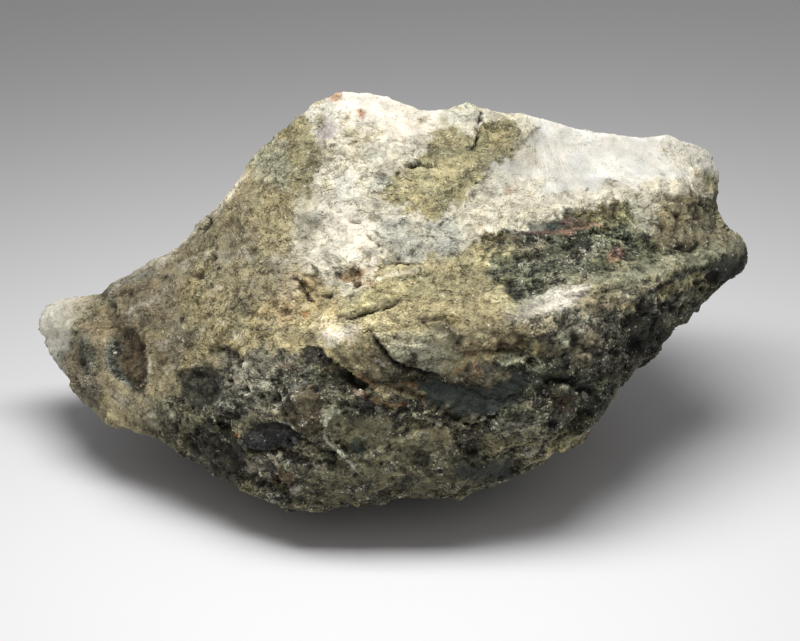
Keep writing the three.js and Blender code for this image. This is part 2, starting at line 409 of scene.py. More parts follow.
def cut_finer(points, triangles, limit_at):
    """Halves every edge longer than limit_at(middle of the edge), again and again."""
    while True:
        sides = np.sort(triangles[:, [[0, 1], [1, 2], [2, 0]]].reshape(-1, 2), axis=1)
        edges, edge_of = np.unique(sides, axis=0, return_inverse=True)
        edge_of = edge_of.reshape(-1, 3)
        middles = points[edges].mean(1)
        lengths = np.linalg.norm(points[edges[:, 0]] - points[edges[:, 1]], axis=1)
        split = lengths > limit_at(middles)
        if not split.any():
            return points, triangles
        new_index = np.full(len(edges), -1)
        new_index[split] = len(points) + np.arange(split.sum())
        points = np.vstack((points, middles[split]))
        new = new_index[edge_of]
        number = (new >= 0).sum(1)
        pieces = [triangles[number == 0]]
        # turn each triangle so that its halved sides come first
        after_whole = ((new < 0).argmax(1) + 1) % 3
        turn = np.where(number == 1, (new >= 0).argmax(1), np.where(number == 2, after_whole, 0))
        order = (turn[:, None] + np.arange(3)) % 3
        a, b, c = np.take_along_axis(triangles, order, 1).T
        ab, bc, ca = np.take_along_axis(new, order, 1).T
        one, two, three = number == 1, number == 2, number == 3
        pieces += [np.stack(t, 1)[one] for t in ((a, ab, c), (ab, b, c))]
        # a triangle with two halved sides leaves a four-sided rest, cut along its shorter diagonal
        from_a, from_c = points[a] - points[bc], points[c] - points[ab]
        across = np.linalg.norm(from_a, axis=1) < np.linalg.norm(from_c, axis=1)
        pieces += [np.stack((ab, b, bc), 1)[two]]
        pieces += [np.stack(t, 1)[two & across] for t in ((a, ab, bc), (a, bc, c))]
        pieces += [np.stack(t, 1)[two & ~across] for t in ((a, ab, c), (ab, bc, c))]
        pieces += [np.stack(t, 1)[three] for t in ((a, ab, ca), (ab, b, bc), (ca, bc, c), (ab, bc, ca))]
        triangles = np.vstack(pieces)


solid_points, solid_triangles = merged(rock_node)
print("solid merged:", len(solid_points), "points,", len(solid_triangles), "triangles")

# %% [markdown]
# Cutting flat triangles keeps them flat, so the skin is also smoothed. Each point moves halfway to the
# middle of its neighbours, then as far back again and a little more, which rounds the corners and keeps the
# size. The display side gets short edges, and the rock's main lines the shortest.

# %% Smooth the skin
def normals_of(points, triangles):
    """The smooth direction of the surface at every point."""
    a, b, c = points[triangles].transpose(1, 0, 2)
    faces = np.cross(b - a, c - a)
    corner_of = triangles.ravel()
    total = np.stack([np.bincount(corner_of, np.repeat(faces[:, k], 3), len(points)) for k in range(3)], 1)
    return total / np.linalg.norm(total, axis=1, keepdims=True)


def relaxed(points, triangles, shares):
    """Moves each point towards the mean of its neighbours by each share in turn, away if it is negative."""
    starts = triangles[:, [0, 1, 2]].ravel()
    ends = triangles[:, [1, 2, 0]].ravel()
    count = np.bincount(starts, minlength=len(points))[:, None]
    for share in shares:
        mean = np.stack([np.bincount(starts, points[ends, k], len(points)) for k in range(3)], 1) / count
        points = points + (mean - points) * share
    return points


EDGE_FINE = 0.36 * MM
EDGE_SHOWN = 0.7 * MM
EDGE_FIRST = 1.9 * MM
EDGE_HIDDEN = 2.0 * MM
IN_AND_OUT = (0.5, -0.52) * 3


def edge_limit(middles):
    """Shortest beside the main lines, short on the rest of the display side, long behind it."""
    at = on_side(middles)
    _, v, w = at.T
    behind = np.clip((-w - 24) / 8, 0, 1)
    under = np.clip((-v - 29) / 3, 0, 1) * np.clip(-w / 4, 0, 1)
    limit = EDGE_SHOWN + (EDGE_HIDDEN - EDGE_SHOWN) * np.maximum(behind, under)
    for line in FINE_LINES:
        rows = within(1.2, as_seen(at), line)
        distance, _, _ = along(line, as_seen(at[rows]))
        fine = EDGE_FINE + (EDGE_SHOWN - EDGE_FINE) * np.clip((distance - 0.6) / 0.6, 0, 1)
        limit[rows] = np.minimum(limit[rows], fine)
    return limit


points, triangles = cut_finer(solid_points, solid_triangles, lambda at: np.full(len(at), EDGE_FIRST))
points = relaxed(points, triangles, IN_AND_OUT)
points, triangles = cut_finer(points, triangles, edge_limit)
points = relaxed(points, triangles, IN_AND_OUT)
print("skin:", len(points), "points,", len(triangles), "triangles")

# %% [markdown]
# ## What the stone is made of
#
# A broken rock face is a patchwork: white crystal crust, khaki patches where the crust is stained, tan
# belly, dark green host rock, polished slip faces. Each mineral below is a ground colour, the colour of the
# specks in it and their share, and its habits from 0 to 1: how grainy it breaks, how much it shines, how
# silky its fibres are, and how many pale flecks lie in it, which are partly vein crystal and partly painted
# glints. The darkest mineral is partly dark rock and partly painted shade, laid along cracks and crevices
# and under ledges. A painted picture could carry all this, but a short list of minerals can be placed,
# changed and reused, and stays sharp however near one looks.

# %% Minerals
def tone(code):
    """A colour written as six hex digits, as the linear light that shaders use."""
    srgb = np.array([int(code[i:i + 2], 16) / 255 for i in (0, 2, 4)])
    return np.where(srgb <= 0.04045, srgb / 12.92, ((srgb + 0.055) / 1.055) ** 2.4)


MINERALS = {  # ground, specks, share of specks, grain, shine, silk, share of pale flecks
    "crust": ("cec9b6", "aaa289", 0.09, 0.37, 0.25, 0.1, 0.07),
    "snow": ("d8d4c7", "b3ac97", 0.1, 0.28, 0.3, 0.25, 0.2),
    "porcelain": ("ddd7ca", "c9c0b0", 0.08, 0.14, 0.3, 0.2, 0.0),
    "silk": ("d9d7cf", "cbc8bf", 0.08, 0.03, 0.4, 0.8, 0.0),
    "peach": ("dcd5c5", "c4b89d", 0.12, 0.3, 0.3, 0.2, 0.08),
    "milk": ("abaa9d", "787970", 0.2, 0.46, 0.4, 0.1, 0.25),
    "lilac": ("a5a1a1", "8b8786", 0.1, 0.15, 0.5, 0.0, 0.0),
    "khaki": ("9e9775", "817a5c", 0.2, 0.52, 0.15, 0.0, 0.2),
    "pale green": ("a9a88f", "7c7b64", 0.26, 0.65, 0.2, 0.0, 0.34),
    "olive brown": ("888067", "625d45", 0.2, 0.45, 0.1, 0.0, 0.2),
    "cream olive": ("b8ac84", "7d7253", 0.24, 0.6, 0.2, 0.0, 0.22),
    "taupe": ("928872", "6c6350", 0.22, 0.38, 0.2, 0.3, 0.2),
    "tan": ("b3a984", "8e8563", 0.22, 0.5, 0.2, 0.0, 0.18),
    "amber": ("a58d66", "836c48", 0.2, 0.6, 0.3, 0.0, 0.2),
    "pepper": ("64635a", "393a32", 0.3, 1.0, 0.4, 0.0, 0.4),
    "starry": ("5f5c50", "36362f", 0.3, 1.0, 0.5, 0.0, 0.75),
    "green rock": ("5a5c48", "2f332b", 0.3, 0.95, 0.3, 0.0, 0.3),
    "host": ("64614c", "3b3a2f", 0.32, 0.95, 0.3, 0.0, 0.3),
    "host brown": ("5a4f3c", "3c342b", 0.25, 0.42, 0.2, 0.0, 0.06),
    "olive": ("6a6545", "454330", 0.3, 0.85, 0.25, 0.0, 0.3),
    "smooth olive": ("64614b", "484535", 0.26, 0.4, 0.25, 0.0, 0.2),
    "moss grey": ("7f7f69", "5f5f4c", 0.2, 0.42, 0.2, 0.0, 0.2),
    "lens": ("313834", "222825", 0.3, 0.2, 0.35, 0.0, 0.0),
    "slip": ("2d2d2d", "19191a", 0.42, 0.65, 0.25, 0.0, 0.1),
    # the darkest mineral: partly dark rock, partly painted shade laid along cracks, crevices and under
    # ledges
    "pitch": ("282822", "171713", 0.3, 0.6, 0.35, 0.0, 0.02),
    "brown": ("5c4c38", "3b2c1e", 0.3, 0.6, 0.2, 0.0, 0.05),
    "rust": ("a26a36", "7c5028", 0.3, 0.5, 0.2, 0.0, 0.08),
    "salmon": ("a88b74", "84684f", 0.25, 0.5, 0.25, 0.0, 0.2),
    "maroon": ("5c4640", "3e2c28", 0.3, 0.6, 0.25, 0.0, 0.08),
    "glass": ("cfcabb", "b2ae9b", 0.15, 0.15, 0.7, 0.1, 0.05),
    "blue grey": ("62665c", "3b3f3a", 0.3, 0.8, 0.4, 0.0, 0.25),
}
RECIPES = {
    name: np.concatenate((tone(ground), tone(speck), habits))
    for name, (ground, speck, *habits) in MINERALS.items()
}
print(len(RECIPES), "minerals")

# %% [markdown]
# ## Laying patches on the stone
#
# Three small brushes place minerals on the skin: an area with an outline, a streak along a line, and an
# oval spot. They measure how far each point of the skin lies from the shape, in u and v. Weight painting
# would do the same by hand, but a list of shapes can be read, moved and laid again in any order.

# %% Brushes
def ripple(places, size, octaves, shift):
    """Soft noise between about -1 and 1, with waves `size` millimetres long."""
    scaled = (places / size + shift).tolist()
    return np.array([noise.fractal(p, 1.0, 2.0, octaves) for p in scaled])


def eased(x):
    """0 up to 0, 1 from 1 on, with a soft start and end between."""
    x = np.clip(x, 0, 1)
    return x * x * (3 - 2 * x)


def tapered(share):
    """1 along the middle of a line, falling to 0 at both of its ends."""
    return eased(np.minimum(share, 1 - share) / 0.22)


def depth_inside(outline, at):
    """Distance of places from a closed outline, positive inside it."""
    nearest, _, _ = along([*outline, outline[0]], at)
    inside = np.zeros(len(at), bool)
    for (u1, v1), (u2, v2) in zip(outline, [*outline[1:], outline[0]]):
        crosses = (v1 > at[:, 1]) != (v2 > at[:, 1])
        if v1 != v2:
            inside ^= crosses & (at[:, 0] < (u2 - u1) * (at[:, 1] - v1) / (v2 - v1) + u1)
    return np.where(inside, nearest, -nearest)


def depth_in_oval(middle, radii, turn, at):
    """About how far places lie inside an oval."""
    c, s = math.cos(math.radians(turn)), math.sin(math.radians(turn))
    off = (at - middle) @ np.array(((c, -s), (s, c)))
    return (1 - np.hypot(*(off / radii).T)) * min(radii)


print("an area's edge, half-way in:", eased(0.5), "and a quarter in:", eased(0.25))

# %% [markdown]
# The skin's places are kept once in u, v, w before anything is moved. The patches are laid out as they look
# from the camera, where far parts look smaller, so u and v are scaled to match. Each brush then shifts them
# a little by noise, so that its edge comes out ragged, as a broken edge is. `shown` is 1 on the display
# side and 0 behind the rim, and the brushes work only where it is above 0.

# %% The skin's places
place = on_side(points)
laid_flat = as_seen(place)
skin_normals = normals_of(points, triangles)
shown = eased((skin_normals @ FACE_AXES[2] + 0.2) / 0.3)
hidden = 1 - shown
wander = np.stack([
    1.5 * ripple(place, 5.0, 2, shift) + 1.3 * ripple(place, 1.6, 4, shift + 31) for shift in (3.1, 11.7)
], 1)
coat = np.tile(RECIPES["host"], (len(points), 1))
patches = []


def lay(mineral, share, rows, side=shown):
    """Blends a mineral into the coat at some rows, by a share for each."""
    share = (share * side[rows])[:, None]
    coat[rows] += (RECIPES[mineral] - coat[rows]) * share
    patches.append(mineral)


def laid(what):
    """Tells what is on the skin by now."""
    print(what, "laid:", len(patches), "patches so far")


def area(mineral, outline, edge=0.5, strength=1.0, loose=1.0):
    """A patch with an outline and a soft edge. loose is how much of the raggedness the edge takes."""
    at = laid_flat + wander * loose
    rows = within(edge, at, outline)
    lay(mineral, strength * eased(0.5 + depth_inside(outline, at[rows]) / edge), rows)


def streak(mineral, line, width, edge=0.35, strength=1.0, loose=0.35):
    """A stripe along a line, thinner towards both ends."""
    at = laid_flat + wander * loose
    rows = within(width + edge, at, line)
    distance, _, share = along(line, at[rows])
    half = width / 2 * (0.4 + 0.6 * tapered(share))
    lay(mineral, strength * eased(0.5 + (half - distance) / edge), rows)


def spot(mineral, middle, radii, turn=0, edge=0.4, strength=1.0, loose=0.5):
    """An oval, turned by some degrees."""
    at = laid_flat + wander * loose
    rows = within(max(radii) + edge, at, [middle])
    lay(mineral, strength * eased(0.5 + depth_in_oval(middle, radii, turn, at[rows]) / edge), rows)


print("skin kept:", len(place), "places")

# %% [markdown]
# ## The big patches
#
# The widest areas go down first: the grey-brown left flank, the white crust across the top, the green rock
# at the right and the dark lower face. Behind the rim the white layer ends after a centimetre or two, and
# plain host rock with brown and green stains follows. That side is laid by noise alone, which is quick and
# looks as random as a back should, where the shown side needs each patch in its place. Later patches cover
# earlier ones.

# %% Hidden side
back_noise = ripple(place, 9.0, 4, 51.0)
back_rows = np.arange(len(place))
lay("host brown", 0.8 * eased(0.5 + (back_noise - 0.15) / 0.3), back_rows, hidden)
lay("green rock", 0.8 * eased(0.5 + (-back_noise - 0.2) / 0.3), back_rows, hidden)
crest = eased((on_table(place)[:, 2] / MM + 5 * ripple(place, 7.0, 3, 21.0) - 37) / 8)
lay("crust", crest * 0.95, back_rows, hidden)
lay("khaki", crest * eased(0.5 + (ripple(place, 6.0, 3, 77.0) - 0.25) / 0.2), back_rows, hidden)
laid("hidden side")

# %% Wide areas of the shown side
area("olive brown", [
    (-75, -25), (-75, 10), (-40, 22), (-22, 42), (-10, 42), (-10, -4), (-28, -12), (-40, -25),
], 4)
area("tan", [
    (-24, 8), (-14, 7), (0, 10), (9, 12.5), (13.6, 13), (13.6, 10.4), (14.6, 8.4), (16.4, 6.4), (19, 4.6),
    (24, 2.4), (26, -1), (23, -4.6), (8, -9), (-4, -6), (-18, -6),
], 3)
area("green rock", [
    (12, 14), (20, 17), (48, 24), (75, 16), (60, -2), (40, -14), (34, -24), (20, -26), (8, -18), (16, -6),
    (24, -4), (25, 2), (18.6, 4.8), (13.8, 9.6),
], 3)
area("host", [
    (-40, -12), (-30, -8), (-18, -8), (-6, -8), (6, -14), (18, -18), (36, -16), (30, -36), (-40, -36),
], 4)
area("crust", [
    (-24, 40), (-18, 26), (-19, 12), (-17.8, 8.7), (-12.4, 7.2), (-11.2, 5), (-5.3, 7.7), (-2.8, 9.7),
    (3, 9.9), (8, 10.8), (12, 13), (17, 13.8), (21, 14.6), (25, 16.4), (30, 18.6), (35, 20), (42, 20.4),
    (50, 20.6), (54, 22), (62, 34), (20, 50), (-24, 50),
], 1.6)
area("snow", [(-15, 34), (-11, 42), (6, 42), (8, 34), (2, 31), (-4, 33), (-10, 31)], 2, 0.9)
area("crust", [(-32, 11), (-20, 12), (-16, 6), (-20, 3), (-33, 4)], 2, 0.55)
laid("wide areas")

# %% [markdown]
# ## Patches of the upper half
#
# Silky fibres lie bare in one slab at the upper right. Khaki stains cover two patches of the crust, and the
# purest, peach-white block sits in the middle. A noise texture with a ramp could spread such stains by
# itself, but not these stains in these places, so each is drawn.

# %% Silky slab and right corner
area("silk", [
    (17, 37), (22, 35), (45, 34), (50, 30), (47, 24), (40, 23.5), (33, 22.5), (22, 20.5), (15, 22),
    (14, 25), (19, 28), (22, 32), (21, 36),
], 1.2)
area("snow", [(44, 34), (54, 33), (56, 26), (52, 24.5), (46, 24), (44, 27)], 1.2)
area("crust", [(12, 24), (25, 24), (22, 17), (10, 14)], 1.5, 0.8)
area("milk", [(52.6, 29), (55, 28.5), (54.5, 25.5), (53, 25.5)], 1, 0.7)
streak("peach", [(24, 20), (30, 21), (36, 22.5)], 1.6, 1.2, 0.5)
streak("pitch", [(34.5, 23.0), (36.5, 23.1)], 0.35, 0.3, 0.8)
spot("pitch", (30.3, 22.2), (0.35, 0.25), 0, 0.3, 0.8)
spot("pitch", (30.9, 22.6), (0.3, 0.2), 0, 0.3, 0.8)
streak("khaki", [(50, 24), (53, 22), (55, 20)], 2.2, 1.4, 0.9)
streak("peach", [(53.5, 25), (55.5, 22)], 1.0, 0.8, 0.8)
laid("slab")

# %% Summit
spot("lilac", (-12.3, 31.6), (1.9, 1.8), 0, 1.0, 0.85)
# painted shade in the small crack beside the lilac spot
streak("pitch", [(-13, 28.9), (-12, 29), (-10.6, 29)], 0.3, 0.3, 0.8)
spot("lilac", (-12.8, 28.2), (0.5, 0.4), 0, 0.4, 0.9)
area("peach", [(-13, 28), (-10.5, 28), (-10.5, 25), (-13, 25)], 0.8, 0.8)
area("khaki", [
    (-20, 32), (-17, 33.6), (-15, 32.8), (-13.8, 30), (-13.2, 28), (-13.6, 25), (-14.2, 22), (-15.2, 21),
    (-17, 21.3), (-18.6, 22), (-18.6, 25), (-18.4, 29),
], 1.0)
area("pale green", [(-22, 30), (-18.4, 30), (-18, 24), (-18.6, 21.4), (-22, 22), (-24, 26)], 1.2, 0.8)
streak("olive brown", [(-20.4, 21.4), (-18.4, 21.6)], 0.8, 0.6, 0.8)
area("porcelain", [
    (-9.4, 38.4), (-2, 40), (6, 36.4), (7.6, 34.6), (4.4, 31.6), (0.4, 29.4), (-2.4, 30.4), (-3.6, 33),
    (-7.6, 34.2), (-9.2, 35.6),
], 1.6, 0.9)
spot("rust", (-10.8, 37.6), (1.2, 0.7), 20, 0.8, 0.7, loose=0.3)
spot("rust", (-6.5, 34.2), (0.7, 0.6), 0, 0.7, 0.75, loose=0.4)
for middle, radii in (
    ((-13.2, 33), (1.3, 0.7)), ((-8, 31.6), (1.4, 0.8)), ((-10, 25.3), (1.2, 0.6)),
    ((-7.4, 28), (0.9, 0.6)), ((-5.6, 30.5), (0.8, 0.5)), ((-11.6, 22.4), (0.8, 0.6)),
    ((-3.6, 31.4), (0.7, 0.5)), ((-6, 25.5), (0.9, 0.5)), ((3.6, 33.6), (1.0, 0.5)),
    ((6.8, 33.2), (0.7, 0.5)), ((-9.2, 33.6), (0.6, 0.4)),
):
    spot("khaki", middle, radii, 20, 0.8, 0.7)
laid("summit")

# %% Middle of the crust
area("peach", [
    (-13, 17), (-8, 18.2), (-4.5, 17), (-3.4, 12.5), (-4, 8.8), (-7, 9.4), (-11, 8.6), (-16.4, 9.6),
    (-16.6, 12.6),
], 1.6)
area("snow", [(-10, 25.5), (-7, 25), (-6.3, 20), (-7.4, 16.4), (-10, 17), (-11, 20)], 1.0)
area("milk", [(-3.4, 17.4), (1, 16.6), (9, 17.4), (11, 14), (8, 10.8), (1, 9.6), (-3, 10.4)], 1.6, 0.9)
area("milk", [(-5.6, 22.8), (-2, 22.6), (-1.6, 19.2), (-5, 18.8)], 1.0, 0.8)
spot("brown", (-3.5, 23.8), (1.0, 0.4), 15, 0.4, 0.6)
spot("blue grey", (-2.0, 23.4), (1.0, 0.5), 0, 0.5, 0.4)
# brown streaks in these two cracks: partly brown stain, partly painted shade in the cracks
streak("brown", BENT_CRACK, 0.35, 0.3, 0.8)
streak("brown", HOOKED_CRACK, 0.35, 0.3, 0.8)
streak("brown", [(-13, 12.3), (-12, 12.8), (-11.5, 12.2)], 0.3, 0.3, 0.7)
spot("pitch", (7, 16.3), (0.45, 0.35), 0, 0.3, 0.9)
spot("rust", (-12.8, 15.9), (0.9, 0.6), 0, 0.8, 0.4)
laid("middle of the crust")

# %% Khaki stain
area("khaki", [
    (-2.2, 21), (-1, 24), (2, 26.5), (4.6, 29), (5, 31.6), (9, 32.6), (12, 31.4), (13, 33.4), (14, 34.6),
    (16.4, 33.4), (19.6, 32.2), (21, 30.2), (19, 27.6), (16, 26), (15, 24.4), (12.5, 22.4), (10, 20),
    (8, 18), (5, 17), (1, 17.4), (-0.6, 19),
], 0.9)
for middle, radii in (
    ((11, 26), (2.6, 1.2)), ((3.5, 21), (2.4, 1.0)), ((16.5, 31), (2.0, 1.2)), ((7, 30), (1.4, 0.8)),
):
    spot("cream olive", middle, radii, 25, 1.6, 0.45)
streak("olive", [(14, 32.4), (17, 32.4), (20.6, 31.4)], 1.4, 1.0, 0.6)
spot("olive", (13, 29), (2.4, 1.0), 30, 1.2, 0.5)
spot("olive", (8, 22), (2.4, 1.0), 30, 1.2, 0.5)
# the dark streaks along the summit crack are painted shade in the crack
streak("pitch", SUMMIT_CRACK[:3], 0.5, 0.4, 0.9)
streak("pitch", [(13.3, 31.5), (12.8, 30.5), (12.3, 29.5), (11.5, 28.5)], 0.45, 0.4, 0.8)
streak("olive", KHAKI_GROOVE, 0.8, 0.6, 0.8)
streak("olive", [(16.5, 26.5), (18, 28), (20, 29.5), (22, 31.5), (23.5, 32.5)], 0.9, 0.7, 0.75)
streak("olive", [(12.5, 23), (14.5, 23.8), (15.5, 25)], 0.5, 0.4, 0.8)
spot("salmon", (18, 21.8), (0.8, 0.8), 0, 0.6, 0.6)
spot("brown", (12.3, 21), (0.7, 0.5), 0, 0.5, 0.6)
area("khaki", [(-18.8, 22), (-15.4, 21), (-14, 17.4), (-14.6, 13.6), (-18, 12.6)], 1.4, 0.75)
area("crust", [(15, 23.6), (20, 24), (23, 26.6), (23, 31), (21, 33), (19, 29.4)], 3, 0.6)
spot("khaki", (-12.4, 27.4), (1.4, 1.2), 0, 0.8, 0.6)
laid("upper half")

# %% [markdown]
# ## Patches of the left end
#
# The left tip is a glassy lump. Beside it a round grain has dropped out and left a dark socket with a pale
# rim. The socket gets its colours here and its hollow later, because the relief reads how grainy each
# mineral is.

# %% Left end
area("taupe", [
    (-55, 7), (-46, 10), (-38, 12), (-35, 4), (-36, -6), (-41, -17), (-50, -16), (-56, -8),
], 2.0, 0.6)
area("cream olive", [(-36.5, 6), (-29, 7), (-29, -5), (-35.5, -6)], 1.6, 0.75)
area("blue grey", [(-53, 6), (-48.6, 5.6), (-50, 1), (-54, -3), (-56, -7), (-60, -8), (-60, 0)], 1.6, 0.5)
area("glass", [
    (-70, 4), (-62, 8), (-50.8, 5.6), (-51.4, 2.6), (-53.2, 0.8), (-54.4, -0.6), (-54.9, -1.9),
    (-55.2, -3.7), (-55.7, -4.9), (-57.6, -6.4), (-62, -10), (-70, -4),
], 1.8, loose=0.5)
spot("snow", (-57, 0.8), (1.4, 1.0), 0, 1.0, 0.5)
spot("cream olive", (-52.4, 2.2), (1.6, 3.2), -20, 1.6, 0.5)
streak("milk", [(-57.6, -5), (-56.6, -7.6), (-55.4, -9.6)], 1.2, 0.8, 0.7)
spot("tan", (-49.4, 1.7), (1.7, 1.5), 0, 1.0, 0.6)
spot("amber", (-49.4, 1.7), (1.2, 1.0), 0, 1.0, 0.4)
streak("blue grey", [(-48.3, 5.2), (-47.7, 3), (-47.2, 1)], 1.0, 0.8, 0.6)
streak("amber", [(-53.4, -0.6), (-51, -1.1), (-48.4, -0.9), (-46, -1.0), (-42, -0.6)], 1.2, 0.9, 0.35)
streak("tan", [(-51.6, -2.8), (-49.5, -2.0), (-46.6, -1.2)], 0.5, 0.5, 0.6)
area("brown", [
    (-46.6, 4.4), (-44.5, 5.9), (-41.6, 6.3), (-41, 5.4), (-43.4, 4), (-45.6, 3.7),
], 0.8, 0.6, loose=0.4)
streak("milk", [(-48.2, 4.8), (-46.6, 6.4), (-44, 7.4), (-41, 8.4)], 1.0, 0.8, 0.7)
streak("snow", [
    (-45.3, 0.6), (-44.7, 1.9), (-43.4, 2.4), (-41.6, 3.0), (-40.4, 4.2),
], 0.5, 0.4, 0.6, loose=0.2)
spot("pitch", (-40.7, 3.7), (0.4, 0.3), 0, 0.4, 0.8)
spot("pitch", (-35.9, 0.5), (0.5, 0.6), 0, 0.4, 0.9)
spot("blue grey", (-52.0, -6.0), (1.6, 3.3), 0, 1.0, 0.85, loose=0.3)
area("pepper", [(-54.8, -8.6), (-50, -10), (-49, -13.8), (-51, -14.8), (-55, -11.5)], 1.4, 0.5)
area("tan", [(-49, -11), (-44.4, -12.6), (-42.8, -15), (-44, -17.4), (-49.6, -16.8)], 1.2, 0.6)
area("peach", [(-48.4, -11.6), (-45, -13), (-45, -14.6), (-48, -14)], 1.2, 0.45)
area("tan", [(-41.6, -1), (-37.6, -1), (-37.6, -12.4), (-42, -13)], 1.0, 0.45)
area("pale green", [(-42.8, -13.6), (-38, -12.8), (-36.5, -17), (-41, -18)], 1.6, 0.55)
laid("left tip")

# %% Socket and flank
area("host", SOCKET, 0.8, 0.9, loose=0.2)
spot("host brown", (-44.9, -6.4), (3.4, 5.2), 0, 1.6, 0.9, loose=0.2)
spot("brown", (-44.4, -7.0), (1.3, 2.4), 0, 1.8, 0.3, loose=0.4)
streak("blue grey", [
    (-47.6, -3.2), (-48.4, -5.4), (-48.1, -7.4), (-47.1, -9), (-45.0, -10.8),
], 1.7, 1.2, 0.8, loose=0.15)
streak("milk", [
    (-48.2, -3.0), (-48.9, -5.4), (-48.5, -7.8), (-47.3, -9.8), (-45.2, -11.2),
], 0.5, 0.6, 0.5, loose=0.15)
streak("tan", [
    (-48.9, -2.6), (-49.8, -5.4), (-49.4, -8), (-47.8, -10.3), (-45, -12), (-42.6, -13.6),
], 0.6, 0.6, 0.55, loose=0.35)
streak("tan", [(-42.3, -1.8), (-41.8, -3.6), (-41.6, -8), (-41.9, -12.8)], 0.7, 0.6, 0.8, loose=0.2)
streak("peach", [(-41.8, -4.6), (-41.7, -7), (-41.8, -11.4)], 0.4, 0.4, 0.5, loose=0.3)
# dark patch in the hollow beside the pepper rock: partly dark rock, partly painted shade in the hollow
area("pitch", [
    (-37.1, -12.6), (-37, -9.4), (-35.6, -7.4), (-33, -7), (-30, -6.8), (-29.6, -9.5), (-31, -13),
    (-33.4, -14.6), (-36, -14.4),
], 0.8, 0.85, loose=0.7)
spot("pitch", (-31.8, -17.4), (1.5, 1.1), 35, 0.6, 0.8)
streak("crust", [
    (-50, 5.6), (-44.4, 8.2), (-39.4, 10.8), (-35.4, 14.2), (-31.8, 17.4), (-28.8, 20.8), (-25.8, 25),
    (-23.4, 29), (-20, 33.6),
], 1.5, 1.0, 0.75, loose=0.6)
# painted shade in the flank crack
streak("pitch", FLANK_CRACK, 0.5, 0.5, 0.7)
laid("socket")

# %% Where the flank meets the crust
area("cream olive", [(-34, 10), (-22, 10.5), (-21, 4), (-33, 3)], 1.6, 0.75)
area("cream olive", [(-31, 2), (-20, 3), (-18, -4.4), (-30, -6)], 1.6, 0.8)
area("cream olive", [(-24, 21), (-18, 21), (-17, 12), (-23, 10)], 2, 0.55)
area("crust", [(-18, 21), (-12, 21), (-11, 9), (-17, 9.5)], 2, 0.7)
spot("maroon", (-14.5, 16.3), (1.1, 0.5), 0, 0.8, 0.35)
for middle in (
    (-33.5, 3), (-28, 2), (-26, 3.8), (-24, -1.2), (-31, -2), (-38.5, 7), (-30, 8.4), (-36, -3.6),
):
    spot("pitch", middle, (0.5, 0.35), 0, 0.4, 0.8)
for middle in ((-39.5, -4), (-38.6, -8), (-34, -2), (-31, 5), (-27, -2.5), (-25, 6), (-29, -0.5), (-36, 9)):
    spot("peach", middle, (1.0, 0.6), 30, 0.8, 0.45)
for middle in ((-40, -7), (-36, 3), (-32, 1), (-27.5, 5.5), (-25.5, 1), (-34, 7.6), (-22.5, -2.6)):
    spot("brown", middle, (0.9, 0.45), 20, 0.5, 0.6)
streak("brown", [(-22.5, 3), (-20.5, 3.2)], 0.5, 0.4)
streak("brown", [(-23.5, 8), (-22, 7.7), (-21, 8.3)], 0.5, 0.4)
# brown streak in this crack: partly stain, partly painted shade in the crack
streak("brown", BROWN_CRACK, 0.35, 0.4)
streak("brown", [(-16, 7.5), (-13, 6.7)], 0.6, 0.5)
# painted shade in the small nick
streak("pitch", FLANK_NICK, 0.5, 0.4, 0.9)
area("salmon", [(-20, 4), (-18, 4), (-17.6, -1), (-20, -1)], 1.2, 0.35)
area("amber", [(-21, 9), (-13, 7), (-10.5, 3), (-18, -1), (-22, 2)], 3, 0.4)
spot("rust", (-15.5, 1.3), (0.6, 0.5), 0, 0.5, 0.7)
laid("left end")

# %% [markdown]
# ## Patches of the belly
#
# The belly is tan, with an olive slab on it, and rust where water sat in the cracks. The rust could be
# found from the depth of the cracks alone, but only some of them rusted, so it is drawn with them.

# %% Belly
area("peach", [(-14, 0.4), (-11, 0.4), (-7, -0.6), (-6.4, -2.6), (-8, -4.8), (-12, -4.2)], 1.4, 0.75)
area("snow", [(-12.6, -0.8), (-9.6, -0.6), (-9.4, -3.2), (-11.8, -3.2)], 1.4, 0.5)
area("olive brown", [(-16.5, -1.4), (-14, -1.6), (-13.6, -4), (-16.2, -4.2)], 0.6, 0.7, loose=0.5)
streak("cream olive", [
    (-16, 0.2), (-11, -0.3), (-6, -0.2), (0, 1.6), (6, 2.6), (12, 3.0),
], 2.4, 2.2, 0.6, loose=1.0)
area("olive", [(0, 5), (5, 8.4), (13, 10.6), (18, 7), (14, 4), (6, 3)], 2.6, 0.3)
area("khaki", [
    (-10.8, 1.8), (-10, 2.6), (-7.8, 4.5), (-4.4, 6.2), (-0.5, 7.3), (4, 7.8), (6, 5.1), (2.8, 4),
    (0.6, 3.7), (-1.1, 2.6), (-3.9, 1.9), (-6.1, 1.1), (-8.3, 0.3), (-10.3, 0.5),
], 0.6, 0.85, loose=0.3)
area("olive", [(-9, 1.2), (-6, 4), (-1, 5.4), (2, 5), (-3, 2.6)], 1.6, 0.4)
streak("peach", [(-10.2, 3.0), (-7.8, 4.9), (-4.4, 6.6), (-0.5, 7.8), (4, 8.4)], 0.7, 0.7, 0.55)
